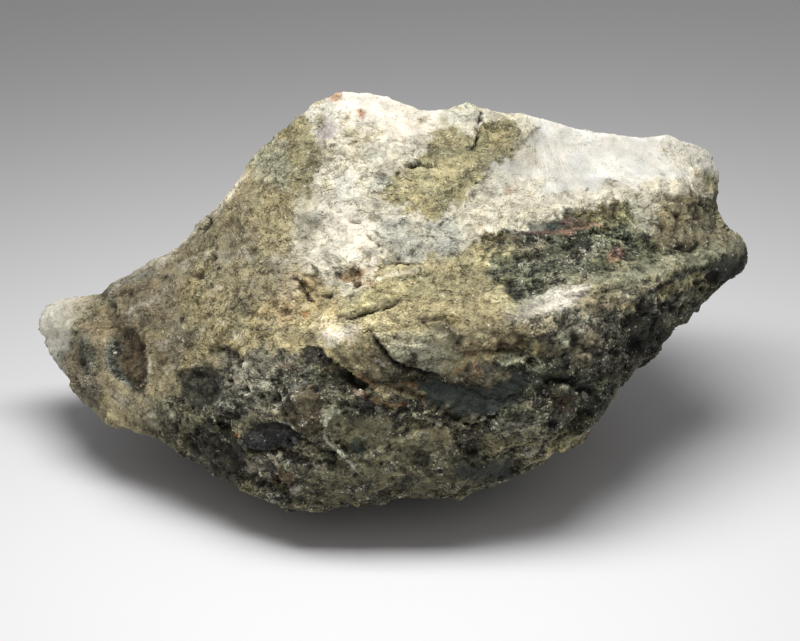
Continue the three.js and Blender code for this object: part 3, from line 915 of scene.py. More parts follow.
# the brown streaks along the slab's foot and top are painted shadow under its edges
streak("brown", SLAB_FOOT, 0.22, 0.3, 0.9, loose=0.2)
streak("brown", SLAB_TOP, 0.25, 0.3, 0.8)
spot("amber", (-8.2, 7.6), (2.1, 1.0), 10, 1.0, 0.85, loose=0.3)
spot("brown", (-7.8, 7.9), (1.2, 0.55), 10, 0.6, 0.4, loose=0.3)
spot("rust", (-6.7, 8.2), (0.7, 0.3), 10, 0.5, 0.4, loose=0.3)
spot("pitch", (-10.3, 7.9), (0.5, 0.7), 0, 0.4, 0.85)
spot("rust", (-9.6, 7.0), (0.8, 0.4), 10, 0.6, 0.45)
spot("brown", (-7.5, 6.7), (0.9, 0.4), 0, 0.4)
spot("salmon", (-5.6, 6.2), (1.2, 0.6), 0, 0.8, 0.5)
# painted shade in the crust crack
streak("brown", CRUST_CRACK, 0.4, 0.4, 0.9)
spot("pitch", (0, 10.5), (0.7, 0.4), 0, 0.4, 0.8)
laid("slab of the belly")

# %% Foot of the belly
area("olive brown", [(11, 1.8), (22, 1.6), (23.4, -3), (18, -4), (10, -3)], 1.8, 0.55)
for middle in (
    (13.8, 0.4), (15.5, -0.6), (17.8, 0.5), (19, -1.1), (16, -2.3), (20, -2.7), (12.6, -1.7), (21, 0.2),
):
    spot("brown", middle, (1.1, 0.6), 10, 0.8, 0.6)
streak("brown", [(2.8, 0.4), (6, 0.1), (10, -0.2)], 1.0, 0.8, 0.6)
area("pale green", [
    (-4.2, -1.8), (0, -1.2), (8, -2), (10.4, -4), (9.8, -8), (5, -9), (0, -7), (-2.6, -4.4),
], 1.6, 0.7)
area("milk", [(-1.4, -3), (3, -3), (7, -5.6), (5.6, -8.2), (1, -7)], 1.8, 0.4)
area("pepper", [(-0.6, -5.4), (4.6, -6.6), (5.4, -8.8), (1, -7.8)], 0.9, 0.6)
streak("peach", [(-4.8, -1.6), (-3.2, -3.6), (-1.2, -5.6)], 0.6, 0.6, 0.55)
area("brown", [(9, -3.4), (15, -3.2), (21, -3.6), (21.6, -5.2), (14, -5.4), (9.6, -5)], 0.8, 0.6)
streak("maroon", [(14.6, -4.2), (17, -4.2), (20, -4)], 0.9, 0.6, 0.5)
# dark line and patch under the belly's lip: painted shadow below it
streak("pitch", [(13.5, -5.2), (17, -4.9), (20.8, -5.0)], 0.6, 0.5, 0.85)
area("pitch", [(13.4, -6.4), (16, -6.6), (19, -8.4), (14, -9), (10.6, -8)], 0.8, 0.35)
area("lilac", [(14, -6.8), (17, -7.2), (16.6, -8.2), (14, -8)], 1.0, 0.2)
area("pale green", [
    (15, -5.2), (21.6, -6.2), (21.4, -7.2), (17.2, -7.8), (15.5, -6.3),
], 0.5, 0.7, loose=0.3)
streak("salmon", [(10.4, -6.3), (12.4, -5.8), (14.2, -5.5)], 0.45, 0.4, 0.85, loose=0.3)
spot("rust", (13, -8.4), (0.4, 1.0), 15, 0.4, 0.6)
spot("salmon", (13, -8.0), (0.3, 0.7), 15, 0.4, 0.8)
spot("rust", (10, -7.8), (0.5, 0.35), 0, 0.4, 0.6)
laid("foot of the belly")

# %% First crevice
area("tan", [
    (-12, -5.4), (-6, -5.6), (-1.6, -8.8), (4, -12), (6, -13.2), (2, -13.2), (-2, -12.6), (-6, -10.6),
    (-10.4, -7.6),
], 1.0, 0.6)
# dark streaks along the first crevice: painted shade under its overhang
streak("pitch", FIRST_CREVICE[:4], 0.4, 0.4, 0.85)
streak("pitch", FIRST_CREVICE[3:], 0.8, 0.5, 0.9)
streak("brown", [(-5.4, -1.0), (-4, -2.8), (-3, -4.2), (-1.5, -5.6)], 0.5, 0.4, 0.8)
area("olive brown", [(-5, -6.8), (-1.6, -7), (-0.8, -9.8), (-4.4, -10.2)], 0.8, 0.8)
streak("peach", [(-4.6, -7.0), (-1.8, -7.2)], 0.4, 0.4, 0.7)
streak("brown", [(-4.8, -10.2), (-2.8, -9.8), (-1, -9.9)], 0.35, 0.3, 0.8)
area("brown", [(-2, -10.2), (4, -10), (4.4, -12.2), (-1.6, -12)], 0.9, 0.5)
spot("rust", (2, -10.5), (1.1, 0.4), -15, 0.4, 0.6)
spot("rust", (-5, -4.8), (0.5, 0.3), -40, 0.4, 0.7)
# brown streaks along the small chip edges: partly brown stain, partly painted shade below the small ledges
for line in (
    *CHIP_EDGES, [(-13.8, 5.4), (-12.8, 4.3), (-11.4, 4.6)], [(-20, 2.2), (-18.2, 1.5), (-16.6, 2.0)],
):
    streak("brown", line, 0.35, 0.3, 0.85, loose=0.6)
laid("belly")

# %% Crevices below the belly
area("slip", [
    (-16.4, -4.6), (-13.3, -4.1), (-11.6, -6.8), (-12.2, -7.7), (-15.8, -7.1),
], 0.5, 0.9, loose=0.3)
# the second crevice: partly dark rock on its face, partly painted shade deep in the crevice
area("pitch", [
    (-11.8, -7.6), (-10, -7.9), (-7.2, -9.3), (-5.2, -10.7), (-6, -11.7), (-9.4, -10.6), (-11.6, -9.2),
], 0.6, 0.75, loose=0.5)
streak("pitch", [(-15.6, -4.3), (-13.4, -4.6), (-11.8, -6.4), (-11, -7.4)], 0.5, 0.4, 0.9, loose=0.3)
area("blue grey", [(-14.4, -8), (-11, -9), (-10.6, -13), (-14, -13)], 1.0, 0.5)
streak("rust", [(-7.2, -8.6), (-5.4, -10), (-3, -11.1)], 0.5, 0.5, 0.7)
streak("rust", [(-19.2, -7.2), (-17, -8.5)], 0.9, 0.6, 0.75)
streak("salmon", [(-8.2, -11.1), (-6.6, -12), (-5.2, -12.8)], 0.6, 0.4, 0.85, loose=0.3)
area("slip", [(-8, -12), (-5, -12.9), (-1.6, -14.2), (0, -15.8), (-4, -16), (-7, -14)], 0.7, 0.8, loose=0.5)
streak("blue grey", [(-6, -14.6), (-3, -14.9), (-1, -15.6)], 0.6, 0.5, 0.7)
streak("amber", [(-5, -12.8), (-2, -13.9), (0, -14.4)], 0.5, 0.4, 0.7)
streak("rust", [(-0.2, -14), (1.5, -14.5)], 0.5, 0.4, 0.6)
# the brown streak along the third crevice is painted shade below the tan strip
streak("brown", THIRD_CREVICE, 0.8, 0.8, 0.8)
laid("crevices")

# %% [markdown]
# ## Patches of the lower face
#
# Where the rock slipped on itself, its faces are dark and polished. Granular pepper-and-salt rock lies
# between, and one thin white vein cuts across it. Dark smooth and dark rough places differ more in shine
# and relief than in colour, so each is a mineral of its own here, not one dark colour.

# %% Lower face
area("pepper", [
    (-31, -4.6), (-18, -5.4), (-15, -9), (-16, -13), (-24, -15), (-30, -15.5), (-33, -15), (-29, -9),
], 1.2, 0.8)
area("host brown", [
    (-20, -14.4), (-17, -11.6), (-13.4, -11.6), (-12.8, -19.4), (-15.6, -19.6), (-17, -18),
], 0.8, 0.7)
# dark patches near the lower rim: partly dark rock, partly painted shade on the underside
area("pitch", [
    (-36, -19.4), (-30, -19.6), (-26.2, -21.6), (-25.8, -23.8), (-26.2, -26.8), (-29.6, -26.4),
    (-33.6, -23.4),
], 0.9, 0.8)
area("pitch", [(-30, -20.4), (-25.6, -19), (-24, -21.4), (-25.2, -23.4), (-27.4, -23.6)], 0.8, 0.7)
area("slip", SLIP_FACE, 0.5, loose=0.5)
# dark streaks at the top and foot of the slip face: painted shade below its crests
streak("pitch", [(-25.4, -18.6), (-22.6, -17.6), (-19, -18), (-17, -19.4)], 0.7, 0.6, 0.6, loose=0.2)
streak("pitch", [(-25, -21.4), (-22, -21.9), (-20.8, -21.5)], 0.9, 0.4, 0.9, loose=0.2)
streak("pitch", [(-23, -15.4), (-20.8, -16)], 0.8, 0.5, 0.8)
spot("rust", (-26.7, -18.9), (0.6, 0.5), 0, 0.5, 0.8)
streak("milk", [(-20.6, -16.6), (-18.6, -17.0), (-16.9, -18.6)], 0.4, 0.3, 0.8, loose=0.2)
area("starry", [
    (-26.6, -24.7), (-25, -23.4), (-22.6, -22.4), (-19.6, -21.8), (-17.3, -22.4), (-17, -23.7),
    (-19.3, -24.1), (-20.6, -25.1), (-22.3, -27.1), (-24.3, -27.6), (-26.3, -25.4),
], 0.6, loose=0.4)
area("slip", [(-17.3, -22), (-15.3, -21.6), (-15.4, -25.4), (-18, -25.8)], 0.9, 0.4)
area("brown", [
    (-22, -26), (-20, -25), (-17.6, -25.4), (-17, -27), (-19, -28), (-21.6, -28),
], 0.6, 0.55, loose=0.4)
spot("maroon", (-18.4, -26.1), (0.7, 0.4), 0, 0.6, 0.4)
spot("milk", (-17.3, -28.2), (1.1, 0.8), 0, 0.8, 0.7)
streak("starry", [(-22.4, -28.2), (-20.6, -29.2), (-19, -30.2)], 1.4, 0.6, 0.9)
streak("starry", [(-17, -28.9), (-14.6, -29.2), (-12.4, -29.2)], 1.0, 0.5, 0.9)
laid("slip faces")

# %% Middle of the lower face
area("host brown", [
    (-12, -16), (-8, -15.6), (-1, -16.4), (0, -18.6), (-4, -19.6), (-8, -19.6), (-11.6, -19),
], 1.2, 0.6)
area("smooth olive", [
    (-11.7, -16.6), (-6.3, -15.9), (3, -17), (8.3, -17.6), (9.7, -20.9), (-1, -23.9), (-8.3, -24.2),
], 1.2, 0.8)
area("smooth olive", [
    (-15.7, -24.6), (-1, -24.9), (11, -23.6), (12.3, -27.6), (-1, -29.6), (-15.7, -30.9),
], 1.4, 0.65)
area("smooth olive", [(10, -17), (20, -16.6), (24, -18.6), (18, -23), (10, -22.4)], 1.4, 0.45)
area("pitch", [(-1.2, -20.8), (5.2, -21), (2, -23.4)], 0.7, 0.7)
area("lens", [(-8.4, -20), (-7.4, -19), (-6.2, -20), (-5.8, -22.4), (-7.4, -22.8), (-8.4, -21.6)], 0.6, 0.9)
# painted shade in the crack below the slip face
streak("pitch", SLIP_CRACK, 0.35, 0.3, 0.8, loose=0.2)
streak("milk", THIN_VEIN, 0.4, 0.3, 0.8, loose=0.2)
area("pale green", [
    (-12.8, -14), (-11.3, -13.9), (-9.6, -15), (-10.3, -15.9), (-11.8, -16.4), (-12.2, -17.6), (-12.7, -16),
], 0.4, loose=0.15)
streak("snow", [(-12.7, -14.2), (-12.6, -16), (-12.3, -17.4)], 0.35, 0.3, 0.6, loose=0.1)
streak("milk", VEINLET, 0.34, 0.3, 0.9, loose=0.2)
streak("pale green", [(-9.8, -14.9), (-8.4, -14.8), (-7.2, -15.3)], 0.7, 0.4, 0.7)
for middle in (
    (-2.5, -21.5), (-4.5, -22.5), (-5, -27.4), (-5.8, -28.1), (-8, -28.5), (1, -19), (4, -19), (2, -26),
    (3, -27), (-2, -25), (-14, -24), (-12.6, -26.4), (6.4, -24.6), (-1, -17.6), (-15.6, -17),
    (-17.4, -13.4),
):
    spot("starry", middle, (0.9, 0.5), 20, 0.6, 0.9)
streak("pitch", [(0.4, -26.4), (0.6, -28.6)], 0.9, 0.5, 0.8)
laid("lower face")

# %% Lower right
area("taupe", [
    (6, -9.2), (12, -8.6), (18, -8.2), (20.4, -8.6), (18, -9.9), (15, -10.6), (10, -10.6),
], 0.8, 0.6)
area("lens", [
    (2.6, -10.4), (4, -13), (7, -14.4), (10, -15.6), (15, -15.8), (19, -13.8), (21.6, -10.8), (21, -8.8),
    (18, -9.9), (15, -10.7), (10, -10.7), (6, -10.2),
], 0.7, loose=0.6)
# painted shade in the crack across the lens
streak("pitch", LENS_CRACK, 0.45, 0.4, 0.9)
area("brown", [(8, -9.8), (12, -9.9), (12, -11), (8, -11)], 0.8, 0.5)
streak("milk", [(2.4, -15.7), (4, -16.3), (6, -17.1), (8, -18), (8.5, -18.6)], 0.5, 0.6, 0.6)
# painted shade in the curved crack
streak("pitch", CURVED_CRACK, 0.5, 0.4, 0.9)
for middle in ((12, -16), (13.5, -16.6), (17, -17), (18.5, -17), (19.5, -17), (15.4, -15.8)):
    spot("milk", middle, (0.6, 0.4), 20, 0.4, 0.8)
# dark patch and crevice right of the lens: painted shadow
area("pitch", [(24, -7), (28, -7.4), (28, -10), (24, -9.6)], 1.0, 0.7)
streak("pitch", RIGHT_CREVICE, 0.6, 0.6, 0.6)
streak("starry", [(18, -17.2), (20.4, -17.8), (23, -17), (25.6, -15.6)], 1.4, 1.0, 1.0)
streak("starry", [(20, -20), (21, -18.5), (22, -17.5), (23.4, -16)], 1.8, 1.0, 1.0)
streak("pale green", [(20.4, -19.4), (22, -17.4), (23, -16)], 0.5, 0.6, 0.7)
area("pitch", [(24, -15), (26, -15), (26, -17), (24, -17)], 0.8, 0.8)
area("olive", [(24, -16), (29, -16), (29, -19), (24, -19)], 1.2, 0.8)
area("olive", [(22, -20), (27, -20), (27, -22), (22, -22)], 1.2, 0.7)
streak("olive brown", [
    (33.4, -16.4), (31, -18.4), (27, -21.3), (23, -23.2), (19.4, -24.9),
], 0.6, 0.5, 0.5, loose=0.3)
area("brown", [(25, -12), (29, -12), (29, -14.4), (25, -14.4)], 1.0, 0.7)
area("slip", [(30, -11.2), (34.4, -11), (34, -15), (30, -15)], 1.0, 0.65)
for middle in (
    (15, -17.8), (17.6, -19), (22.6, -13.4), (12, -20.4), (20.6, -16.8), (24.6, -18.6), (10.4, -19),
    (26.6, -17.4), (18.4, -26), (23.4, -21.4), (28.4, -15.6), (8.6, -21.6),
):
    spot("starry", middle, (1.5, 0.7), 25, 0.8, 0.9)
area("lens", [(13, -23.6), (19, -23.4), (19, -25.5), (14, -26.6), (10, -26.6), (10.4, -24)], 0.9, 0.85)
streak("starry", [(20, -20.6), (21, -21.8), (22, -23)], 1.2, 0.8, 1.0)
area("pitch", [(18.4, -21), (20, -21), (19.6, -23)], 0.6, 0.8)
area("olive brown", [(15, -20), (18, -20), (18, -22), (15, -22)], 1.0, 0.6)
laid("lower right")

# %% [markdown]
# ## Patches of the right side
#
# A dark green lens of host rock lies under the silky slab. A red seam runs along its top, and a pale streak
# crosses its foot onto the long ledge, which is bare olive-grey rock. The granular rock below the ledge has
# dark pockets, which are listed once and used here for colour and later for depth.

# %% Right side
area("pepper", [(27, -8), (40, -9), (41, 2), (40, 5), (28, 4)], 1.4, 0.6)
area("olive", [(30, 19.6), (34.4, 20.4), (39, 20.4), (40, 18), (37, 15.4), (31, 15.4)], 1.0, 0.8)
spot("pitch", (35.5, 18.4), (1.6, 0.8), 10, 0.8, 0.5)
spot("pitch", (32, 17.4), (1.0, 0.6), 10, 0.8, 0.5)
area("pale green", [(38.6, 19.8), (44, 20.4), (46, 17.4), (43, 15), (39, 15)], 1.6, 0.9)
area("crust", [(39, 20), (43.6, 19.8), (43.4, 16), (40.6, 15.4)], 1.8, 0.5)
area("olive brown", [
    (43.6, 20.6), (47.4, 22.2), (51, 20.4), (54, 15), (51, 11.6), (44, 11.4), (42.6, 14),
], 1.2, 0.85)
area("blue grey", [
    (19, 9), (21, 12.6), (30, 14), (34.6, 13), (34, 9), (30, 6.4), (23, 5.6), (20, 7),
], 2.0, 0.25)
streak("olive brown", [(14, 12.6), (18, 11.8), (22, 12), (25, 12.4)], 1.2, 1.2, 0.5)
area("khaki", [(11.6, 13.2), (16.2, 13.4), (15.8, 11.2), (14.4, 9.4), (12, 10)], 1.0, 0.6, loose=0.4)
streak("khaki", [(11.4, 10.6), (13.3, 7.2), (16.6, 4.4), (20, 2.6)], 1.6, 1.2, 0.6, loose=0.6)
area("lens", [(21.4, 15.9), (24, 16.7), (28.6, 17.0), (28.6, 15.2), (22, 14.6)], 0.6, 0.8, loose=0.3)
streak("crust", [(17, 16.6), (21, 17.7), (25, 18.3), (28.4, 19.2), (31, 20.4)], 1.7, 0.8, 0.85, loose=0.35)
area("maroon", [(26.6, 17), (30.4, 17.2), (30.6, 15.6), (27, 15.4)], 0.8, 0.7)
streak("maroon", [
    (18.3, 14.0), (22.2, 14.7), (26.1, 14.5), (30.5, 15.3), (33.9, 15.9),
], 0.8, 0.5, 0.85, loose=0.4)
streak("salmon", [(26, 14.4), (29, 15), (31, 15.5), (33.4, 16.0)], 0.45, 0.4, 0.8, loose=0.3)
streak("brown", [(13, 14.2), (16, 13.6), (20, 13)], 0.8, 0.6, 0.7)
streak("khaki", [(16, 10.7), (17.6, 11.2), (19, 11.2)], 0.5, 0.5, 0.5)
# painted shade in the crack in the green rock
streak("pitch", GREEN_CRACK, 0.5, 0.4, 0.9)
for middle in (
    (16, 8.4), (20.4, 9.8), (24, 10.8), (28, 9.4), (31.6, 11.6), (26, 7.4), (19, 6.2), (22.6, 12.6),
):
    spot("starry", middle, (1.8, 0.9), 10, 1.0, 0.6)
for middle in ((18, 9.2), (22.4, 8.6), (27, 11.4), (30, 13), (24.6, 6.4), (33, 9.4)):
    spot("pitch", middle, (1.8, 0.7), 10, 1.0, 0.5)
spot("pitch", (19.4, 5), (1.0, 0.4), 10, 0.4, 0.8)
spot("pitch", (21.2, 5.2), (0.7, 0.35), 0, 0.4, 0.8)
spot("maroon", (36.2, 11.4), (1.3, 1.8), 0, 0.8, 0.85)
spot("salmon", (35.6, 9.9), (1.1, 0.6), 0, 0.6, 0.55)
spot("salmon", (36.6, 12.4), (0.6, 0.5), 0, 0.6, 0.4)
laid("green lens")

# %% Long ledge
area("moss grey", [
    (36, 8.6), (46, 10.6), (50, 12.4), (60, 17), (64, 13), (58, 12.0), (50, 9.8), (40, 6.4),
], 0.9)
area("olive brown", [(52, 10.4), (59, 13), (57, 18), (56, 25), (52.4, 24)], 1.4, 0.7)
# black patch in the notch under the right corner: painted shadow
area("pitch", [(53, 15.6), (54.6, 16.6), (55.6, 15.6), (54.4, 15.2)], 0.5, 0.8)
area("brown", [(48.8, 17), (50.6, 17), (51.0, 19.2), (49.2, 19.4)], 0.9, 0.6)
# painted shade in the crack in the ledge
streak("pitch", LEDGE_CRACK, 0.5, 0.4, 0.9)
streak("pale green", [
    (30, 6), (35, 7), (40, 7.6), (46, 9.6), (50, 11), (55, 13), (60, 13.4),
], 1.4, 0.9, 0.6)
area("host", [(46, 8), (53, 9.8), (56, 10.8), (61, 10.6), (58, 6), (48, 3)], 1.2, 0.7)
area("lens", [(52, 10.2), (55.4, 11.4), (60, 11), (58, 6), (54, 5)], 1.4, 0.7)
streak("pitch", [(51.6, 16.4), (53, 15.8), (54.6, 15.2)], 0.7, 0.5, 0.8)
area("pitch", [(50, 7), (54, 9), (58, 9.4), (57, 6), (51, 4.6)], 1.6, 0.5)
area("pitch", [(39, 3), (42, 3), (42.4, -5), (39, -5)], 1.0, 0.75)
area("olive brown", [(29, 7.4), (38, 8), (47, 10.4), (45, 6), (38, 3.4), (33, 0.6), (29, 2.4)], 2.4, 0.85)
area("moss grey", [(31, 6.4), (38, 8), (46, 10), (44, 7), (36, 4.6)], 1.6, 0.6)
area("pepper", [(40.4, 5), (48, 6.4), (47, 0), (41, 0)], 1.2, 0.7)
area("host brown", [(23, -1), (30, 0), (36, -4), (38, -9), (30, -8), (24, -5)], 2.4, 0.5)
streak("milk", [(18.6, 1.0), (22, 1.8), (26, 3.6), (30.4, 5.0)], 4.2, 2.2, 0.75)
streak("porcelain", [(21.4, 1.2), (24, 2.4), (27, 3.7), (30.2, 4.8)], 2.4, 1.8, 0.55)
# dark pockets: partly dark rock, partly painted shade in the pockets, which are also sunk later
for middle, radii in POCKETS:
    spot("pitch", middle, radii, 0, 0.9, 0.75)
area("starry", [(32.6, -4), (35, -4), (35.4, -7.6), (32.8, -7.4)], 1.0, 0.9)
area("starry", [(20.6, 0.2), (24, 0.8), (30, 1.8), (31.4, -3), (25, -4.6)], 1.6, 0.65)
area("pale green", [(25.6, -2), (28.2, -2.2), (28.4, -4.4), (26, -4.4)], 1.0, 0.4)
streak("moss grey", [(33, 6.2), (38, 7), (44, 8.4), (49, 10), (54, 12), (59, 14)], 2.0, 1.0, 0.8)
streak("lens", [(45, 6.6), (50, 8.2), (54, 8.6), (57.6, 10.6)], 0.9, 0.9, 0.55, loose=0.5)
streak("cream olive", [(43, 3.6), (46, 5.4), (48.6, 6.6), (50.4, 7.6)], 0.7, 0.8, 0.6, loose=0.6)
streak("cream olive", [(35.4, 1.8), (38.4, 2.4), (40, 2)], 0.8, 0.8, 0.5, loose=0.6)
laid("right side")

# %% [markdown]
# ## Relief
#
# A rock breaks in flat chips that meet in sharp, crooked edges. Three sizes of chips are laid over one
# another. Each chip is the plane of the nearest of many scattered seeds, so the surface is flat inside a
# chip and steps at its edge. How deep the chips go depends on the mineral: granular rock breaks rough, silk
# and slip faces stay smooth. A Displace modifier with a noise texture would give soft hills instead of
# chips. Round knobs of crust and ragged pockets come on top of the chips, and dark chips get painted
# lighter or darker tones, as if their faces caught the lamp differently.

# %% Chips
SEEDS = 4096
HASH = np.array((73856093, 19349663, 83492791))


def chips(places, size, seed, stretch=(1, 1, 1), bowl=0.25):
    """Height of a chipped surface in parts of the chip size, and a number from 0 to 1 for each chip."""
    table = np.random.default_rng(seed).random((SEEDS, 8))
    scaled = places / size / np.array(stretch)
    cell = np.floor(scaled).astype(int)
    best = np.full(len(places), np.inf)
    height, own = np.zeros((2, len(places)))
    for step in np.ndindex(3, 3, 3):
        near = cell + step - 1
        row = table[(near @ HASH) & (SEEDS - 1)]
        off = scaled - near - row[:, :3]
        plane = ((row[:, 3:6] - 0.5) * off).sum(1) * 1.4 + (row[:, 6] - 0.5) * 0.7
        reach = (off ** 2).sum(1)
        rank = reach + plane * 0.5
        won = rank < best
        best[won] = rank[won]
        height[won] = (plane + bowl * reach)[won]
        own[won] = row[won, 7]
    return height - height.mean(), own


print("a chip's own numbers:", chips(place[:2], 8.0, 1)[1].round(2))

# %% Height of the skin
WIDE_CHIP, SMALL_CHIP, TINY_CHIP, KNOB, POCKET = 8.0, 3.4, 1.5, 2.3, 3.4
grain, silk = coat[:, 7], coat[:, 9]
rough = 0.12 + 0.88 * grain
warped = place + 0.5 * np.stack([ripple(place, 3.0, 2, shift) for shift in (5.0, 15.0, 25.0)], 1)
wide, wide_own = chips(warped, WIDE_CHIP, 1, (1.6, 1, 1))
small, small_own = chips(warped, SMALL_CHIP, 2, (1.4, 1, 1))
tiny, tiny_own = chips(place, TINY_CHIP, 3)
knobs, _ = chips(warped, KNOB, 4, bowl=-1.1)
pale = eased((coat[:, 0] - 0.3) / 0.3) * eased(grain / 0.4)
dark = 1 - eased((coat[:, 0] - 0.18) / 0.3)
relief = (1.0 + 0.5 * dark) * wide * (0.15 + 0.85 * rough)
relief += (0.5 + 0.15 * dark) * small * rough + 0.35 * tiny * rough + 0.18 * pale * knobs
pocket = eased((ripple(place, POCKET, 3, 68.0) - 0.12) / 0.3) * rough * (0.25 + 0.75 * dark) * (1 - silk)
relief -= 0.7 * pocket
# more dark specks in the hollows between knobs of crust: partly olive grains, partly painted shade in the
# hollows
coat[:, 6] += 0.22 * pale * eased((-knobs - 0.15) / 0.35)
# dark chips are painted lighter or darker, as if their faces caught the lamp differently; tiny chips differ
# in tone at random
chip_tone_and_facet_light = 1 + dark * rough * (0.5 * (wide_own - 0.5) + 0.36 * (small_own - 0.5)) + 0.16 * (tiny_own - 0.5)
print("chips from", relief.min().round(2), "to", relief.max().round(2), "mm")

# %% [markdown]
# Cracks, ledges and hollows are placed one by one on top of the chips. A ledge raises the rock on the left
# of its line and lowers it on the right, so it casts a small shadow along the line. Sculpting them with a
# brush would be freer, but these three functions cut the same lines that the patches already follow.

# %% Cracks, ledges and hollows
crumble = np.clip(0.75 + 0.9 * ripple(place, 2.6, 3, 91.0), 0.1, 1.4)
LEDGE_DROP = 0.5
LEDGE_EDGE = 0.35


def crack(line, width, depth):
    """A groove along a line, narrower and shallower towards both ends."""
    global relief
    at = laid_flat + wander * 0.25
    rows = within(3 * width, at, line)
    distance, _, share = along(line, at[rows])
    taper = tapered(share)
    half = 0.5 * width * (0.4 + 0.6 * taper)
    relief[rows] -= depth * taper * np.exp(-(distance / half) ** 2) * shown[rows]


def ledge(line, rise, run=2.5):
    """Raises the left of a line by rise, easing out over run, and lowers its right by a share of that."""
    global relief
    at = laid_flat + wander * 0.3
    rows = within(3 * run, at, line)
    distance, side, share = along(line, at[rows])
    fall = np.exp(-(distance / run) ** 2) * tapered(share) * crumble[rows]
    step = eased(0.5 + distance * side / LEDGE_EDGE)
    relief[rows] += rise * fall * (step * (1 + LEDGE_DROP) - LEDGE_DROP) * shown[rows]


def hollow(middle, radii, depth, turn=0):
    """A dish with an oval outline, or a swelling where depth is negative."""
    global relief
    at = laid_flat + wander * 0.3
    rows = within(max(radii), at, [middle])
    depth_share = depth_in_oval(middle, radii, turn, at[rows]) / min(radii)
    relief[rows] -= depth * eased(depth_share * 2.2) * shown[rows]


print("ledges crumble by", round(float(crumble.min()), 2), "to", round(float(crumble.max()), 2))

# %% Relief of the belly
crack(SLAB_FOOT, 0.4, 0.5)
ledge(SLAB_FOOT, 0.55, 3)
crack(SLAB_TOP, 0.35, 0.5)
crack(CRUST_CRACK, 0.5, 0.7)
hollow((-8.4, 7.5), (2.4, 1.3), 0.35, 10)
crack(FIRST_CREVICE, 0.7, 1.0)
ledge([(-5.5, -1.2), (-4.3, -2.8), (-3.2, -4.3), (-1.8, -5.6), (0, -6.8), (3, -8.0), (6.5, -9)], 0.6, 2.4)
crack(SECOND_CREVICE[3:], 0.9, 1.2)
ledge([(-16, -4.3), (-13.2, -4.6), (-11.6, -6.6), (-10, -7.9), (-7, -9.4), (-4.6, -10.9)], 0.45, 2.2)
ledge([(-8.4, -10.8), (-6.6, -11.9), (-5, -12.6), (-2, -13.8), (0, -14.4)], 0.7, 1.4)
crack(THIRD_CREVICE, 1.0, 0.6)
ledge([(-4.8, -10), (-2.8, -9.6), (-1, -9.8)], 0.5, 1.6)
crack(LENS_CRACK, 0.4, 0.35)
crack(UNDER_BELLY, 0.7, 0.8)
ledge([(2.6, 0.6), (6, 0.2), (10, 0)], 0.5, 1.6)
ledge([(8.6, -4.6), (13, -5.0), (17, -4.6), (21, -4.4)], 0.8, 2.2)
ledge([(15.3, -6.5), (17.2, -7.9), (21.4, -7.4)], 0.6, 1.2)
ledge([(12, -9), (13, -7.2), (13.4, -5.9)], 0.4, 1.2)
crack(RIGHT_CREVICE, 0.8, 0.25)
for line in CHIP_EDGES:
    ledge(line, 0.5, 1.4)
print("belly from", relief.min().round(2), "to", relief.max().round(2), "mm")

# %% Relief of the upper half
crack(SUMMIT_CRACK, 0.6, 1.1)
crack(KHAKI_GROOVE, 0.9, 0.35)
crack(BENT_CRACK, 0.5, 0.7)
crack(HOOKED_CRACK, 0.5, 0.7)
hollow((-8.5, 12.8), (5.4, 4.6), -0.7)
hollow((-3.2, 23.5), (2.2, 1.0), 0.45)
hollow((-14.4, 29.2), (2.2, 1.2), 0.7)
hollow((14, 20.5), (3.4, 2.2), 0.7)
ledge(CRUST_FOOT, 0.35, 1.8)
ledge([(51, 20.5), (52.4, 25)], -0.6, 1.6)
print("upper half from", relief.min().round(2), "to", relief.max().round(2), "mm")

# %% Relief of the left end, the lower face and the right
hollow((-45.3, -6.8), (3.7, 6.2), 0.95)
hollow((-33, -10.6), (4.2, 3.4), 0.9)
hollow((-60, 0.5), (4.5, 4), -0.5)
crack(FLANK_CRACK, 0.7, 0.8)
crack(BROWN_CRACK, 0.5, 0.5)
crack(FLANK_NICK, 0.6, 0.8)
ledge([
    (-16.4, -19.8), (-17, -18.8), (-18.4, -17.7), (-20.4, -17), (-22.8, -16.8), (-25.2, -17.6),
], -0.7, 2.0)
ledge([(-26, -21.4), (-22, -21.2), (-18, -20.9), (-16, -20.5)], 0.9, 2.0)
crack(SLIP_CRACK, 0.4, 0.5)
crack([(u, v - 0.35) for u, v in THIN_VEIN], 0.4, 0.4)
ledge(VEINLET[::-1], 0.35, 2.4)
ledge([(2, -16.2), (6, -16.8), (9.4, -17.8)], 0.7, 1.8)
crack(CURVED_CRACK, 0.6, 0.9)
crack(GREEN_CRACK, 0.6, 0.8)
crack(LEDGE_CRACK, 0.6, 0.9)
hollow((54, 15.8), (1.5, 0.8), 0.9)
hollow((49, 18.2), (1.8, 1.8), 0.8)
hollow((55.4, 17.2), (3.0, 3.0), 2.8)
for middle, radii in POCKETS:
    hollow(middle, radii, 0.9)
ledge(LONG_LEDGE, 0.7, 2.6)
print("relief from", relief.min().round(2), "to", relief.max().round(2), "mm")

# %% [markdown]
# Now the skin moves out and in along its own directions. How far it may go either way is limited, and the
# whole stays within the solid's box by under half a millimetre, so outline and size stay those of the
# solid. The flat spot underneath takes no relief, because the stone rests on it. A Displace modifier could
# make the move from an attribute, but a line of arithmetic does it at once.

# %% Move the skin
DEEPEST, HIGHEST = -3.0, 1.1
PAST_THE_BOX = 0.4 * MM
foot = eased((on_table(place)[:, 2] / MM - 0.2) / 2.5)
height = np.clip(relief, DEEPEST, HIGHEST) * foot
points = points + skin_normals * (height * MM)[:, None]
low, high = (np.array(corner) for corner in cad_box)
points = np.clip(points, low - PAST_THE_BOX, high + PAST_THE_BOX)
points[:, 2] = np.maximum(points[:, 2], 0)
print("moved", len(points), "points by up to", round(float(np.abs(height).max()), 2), "mm")

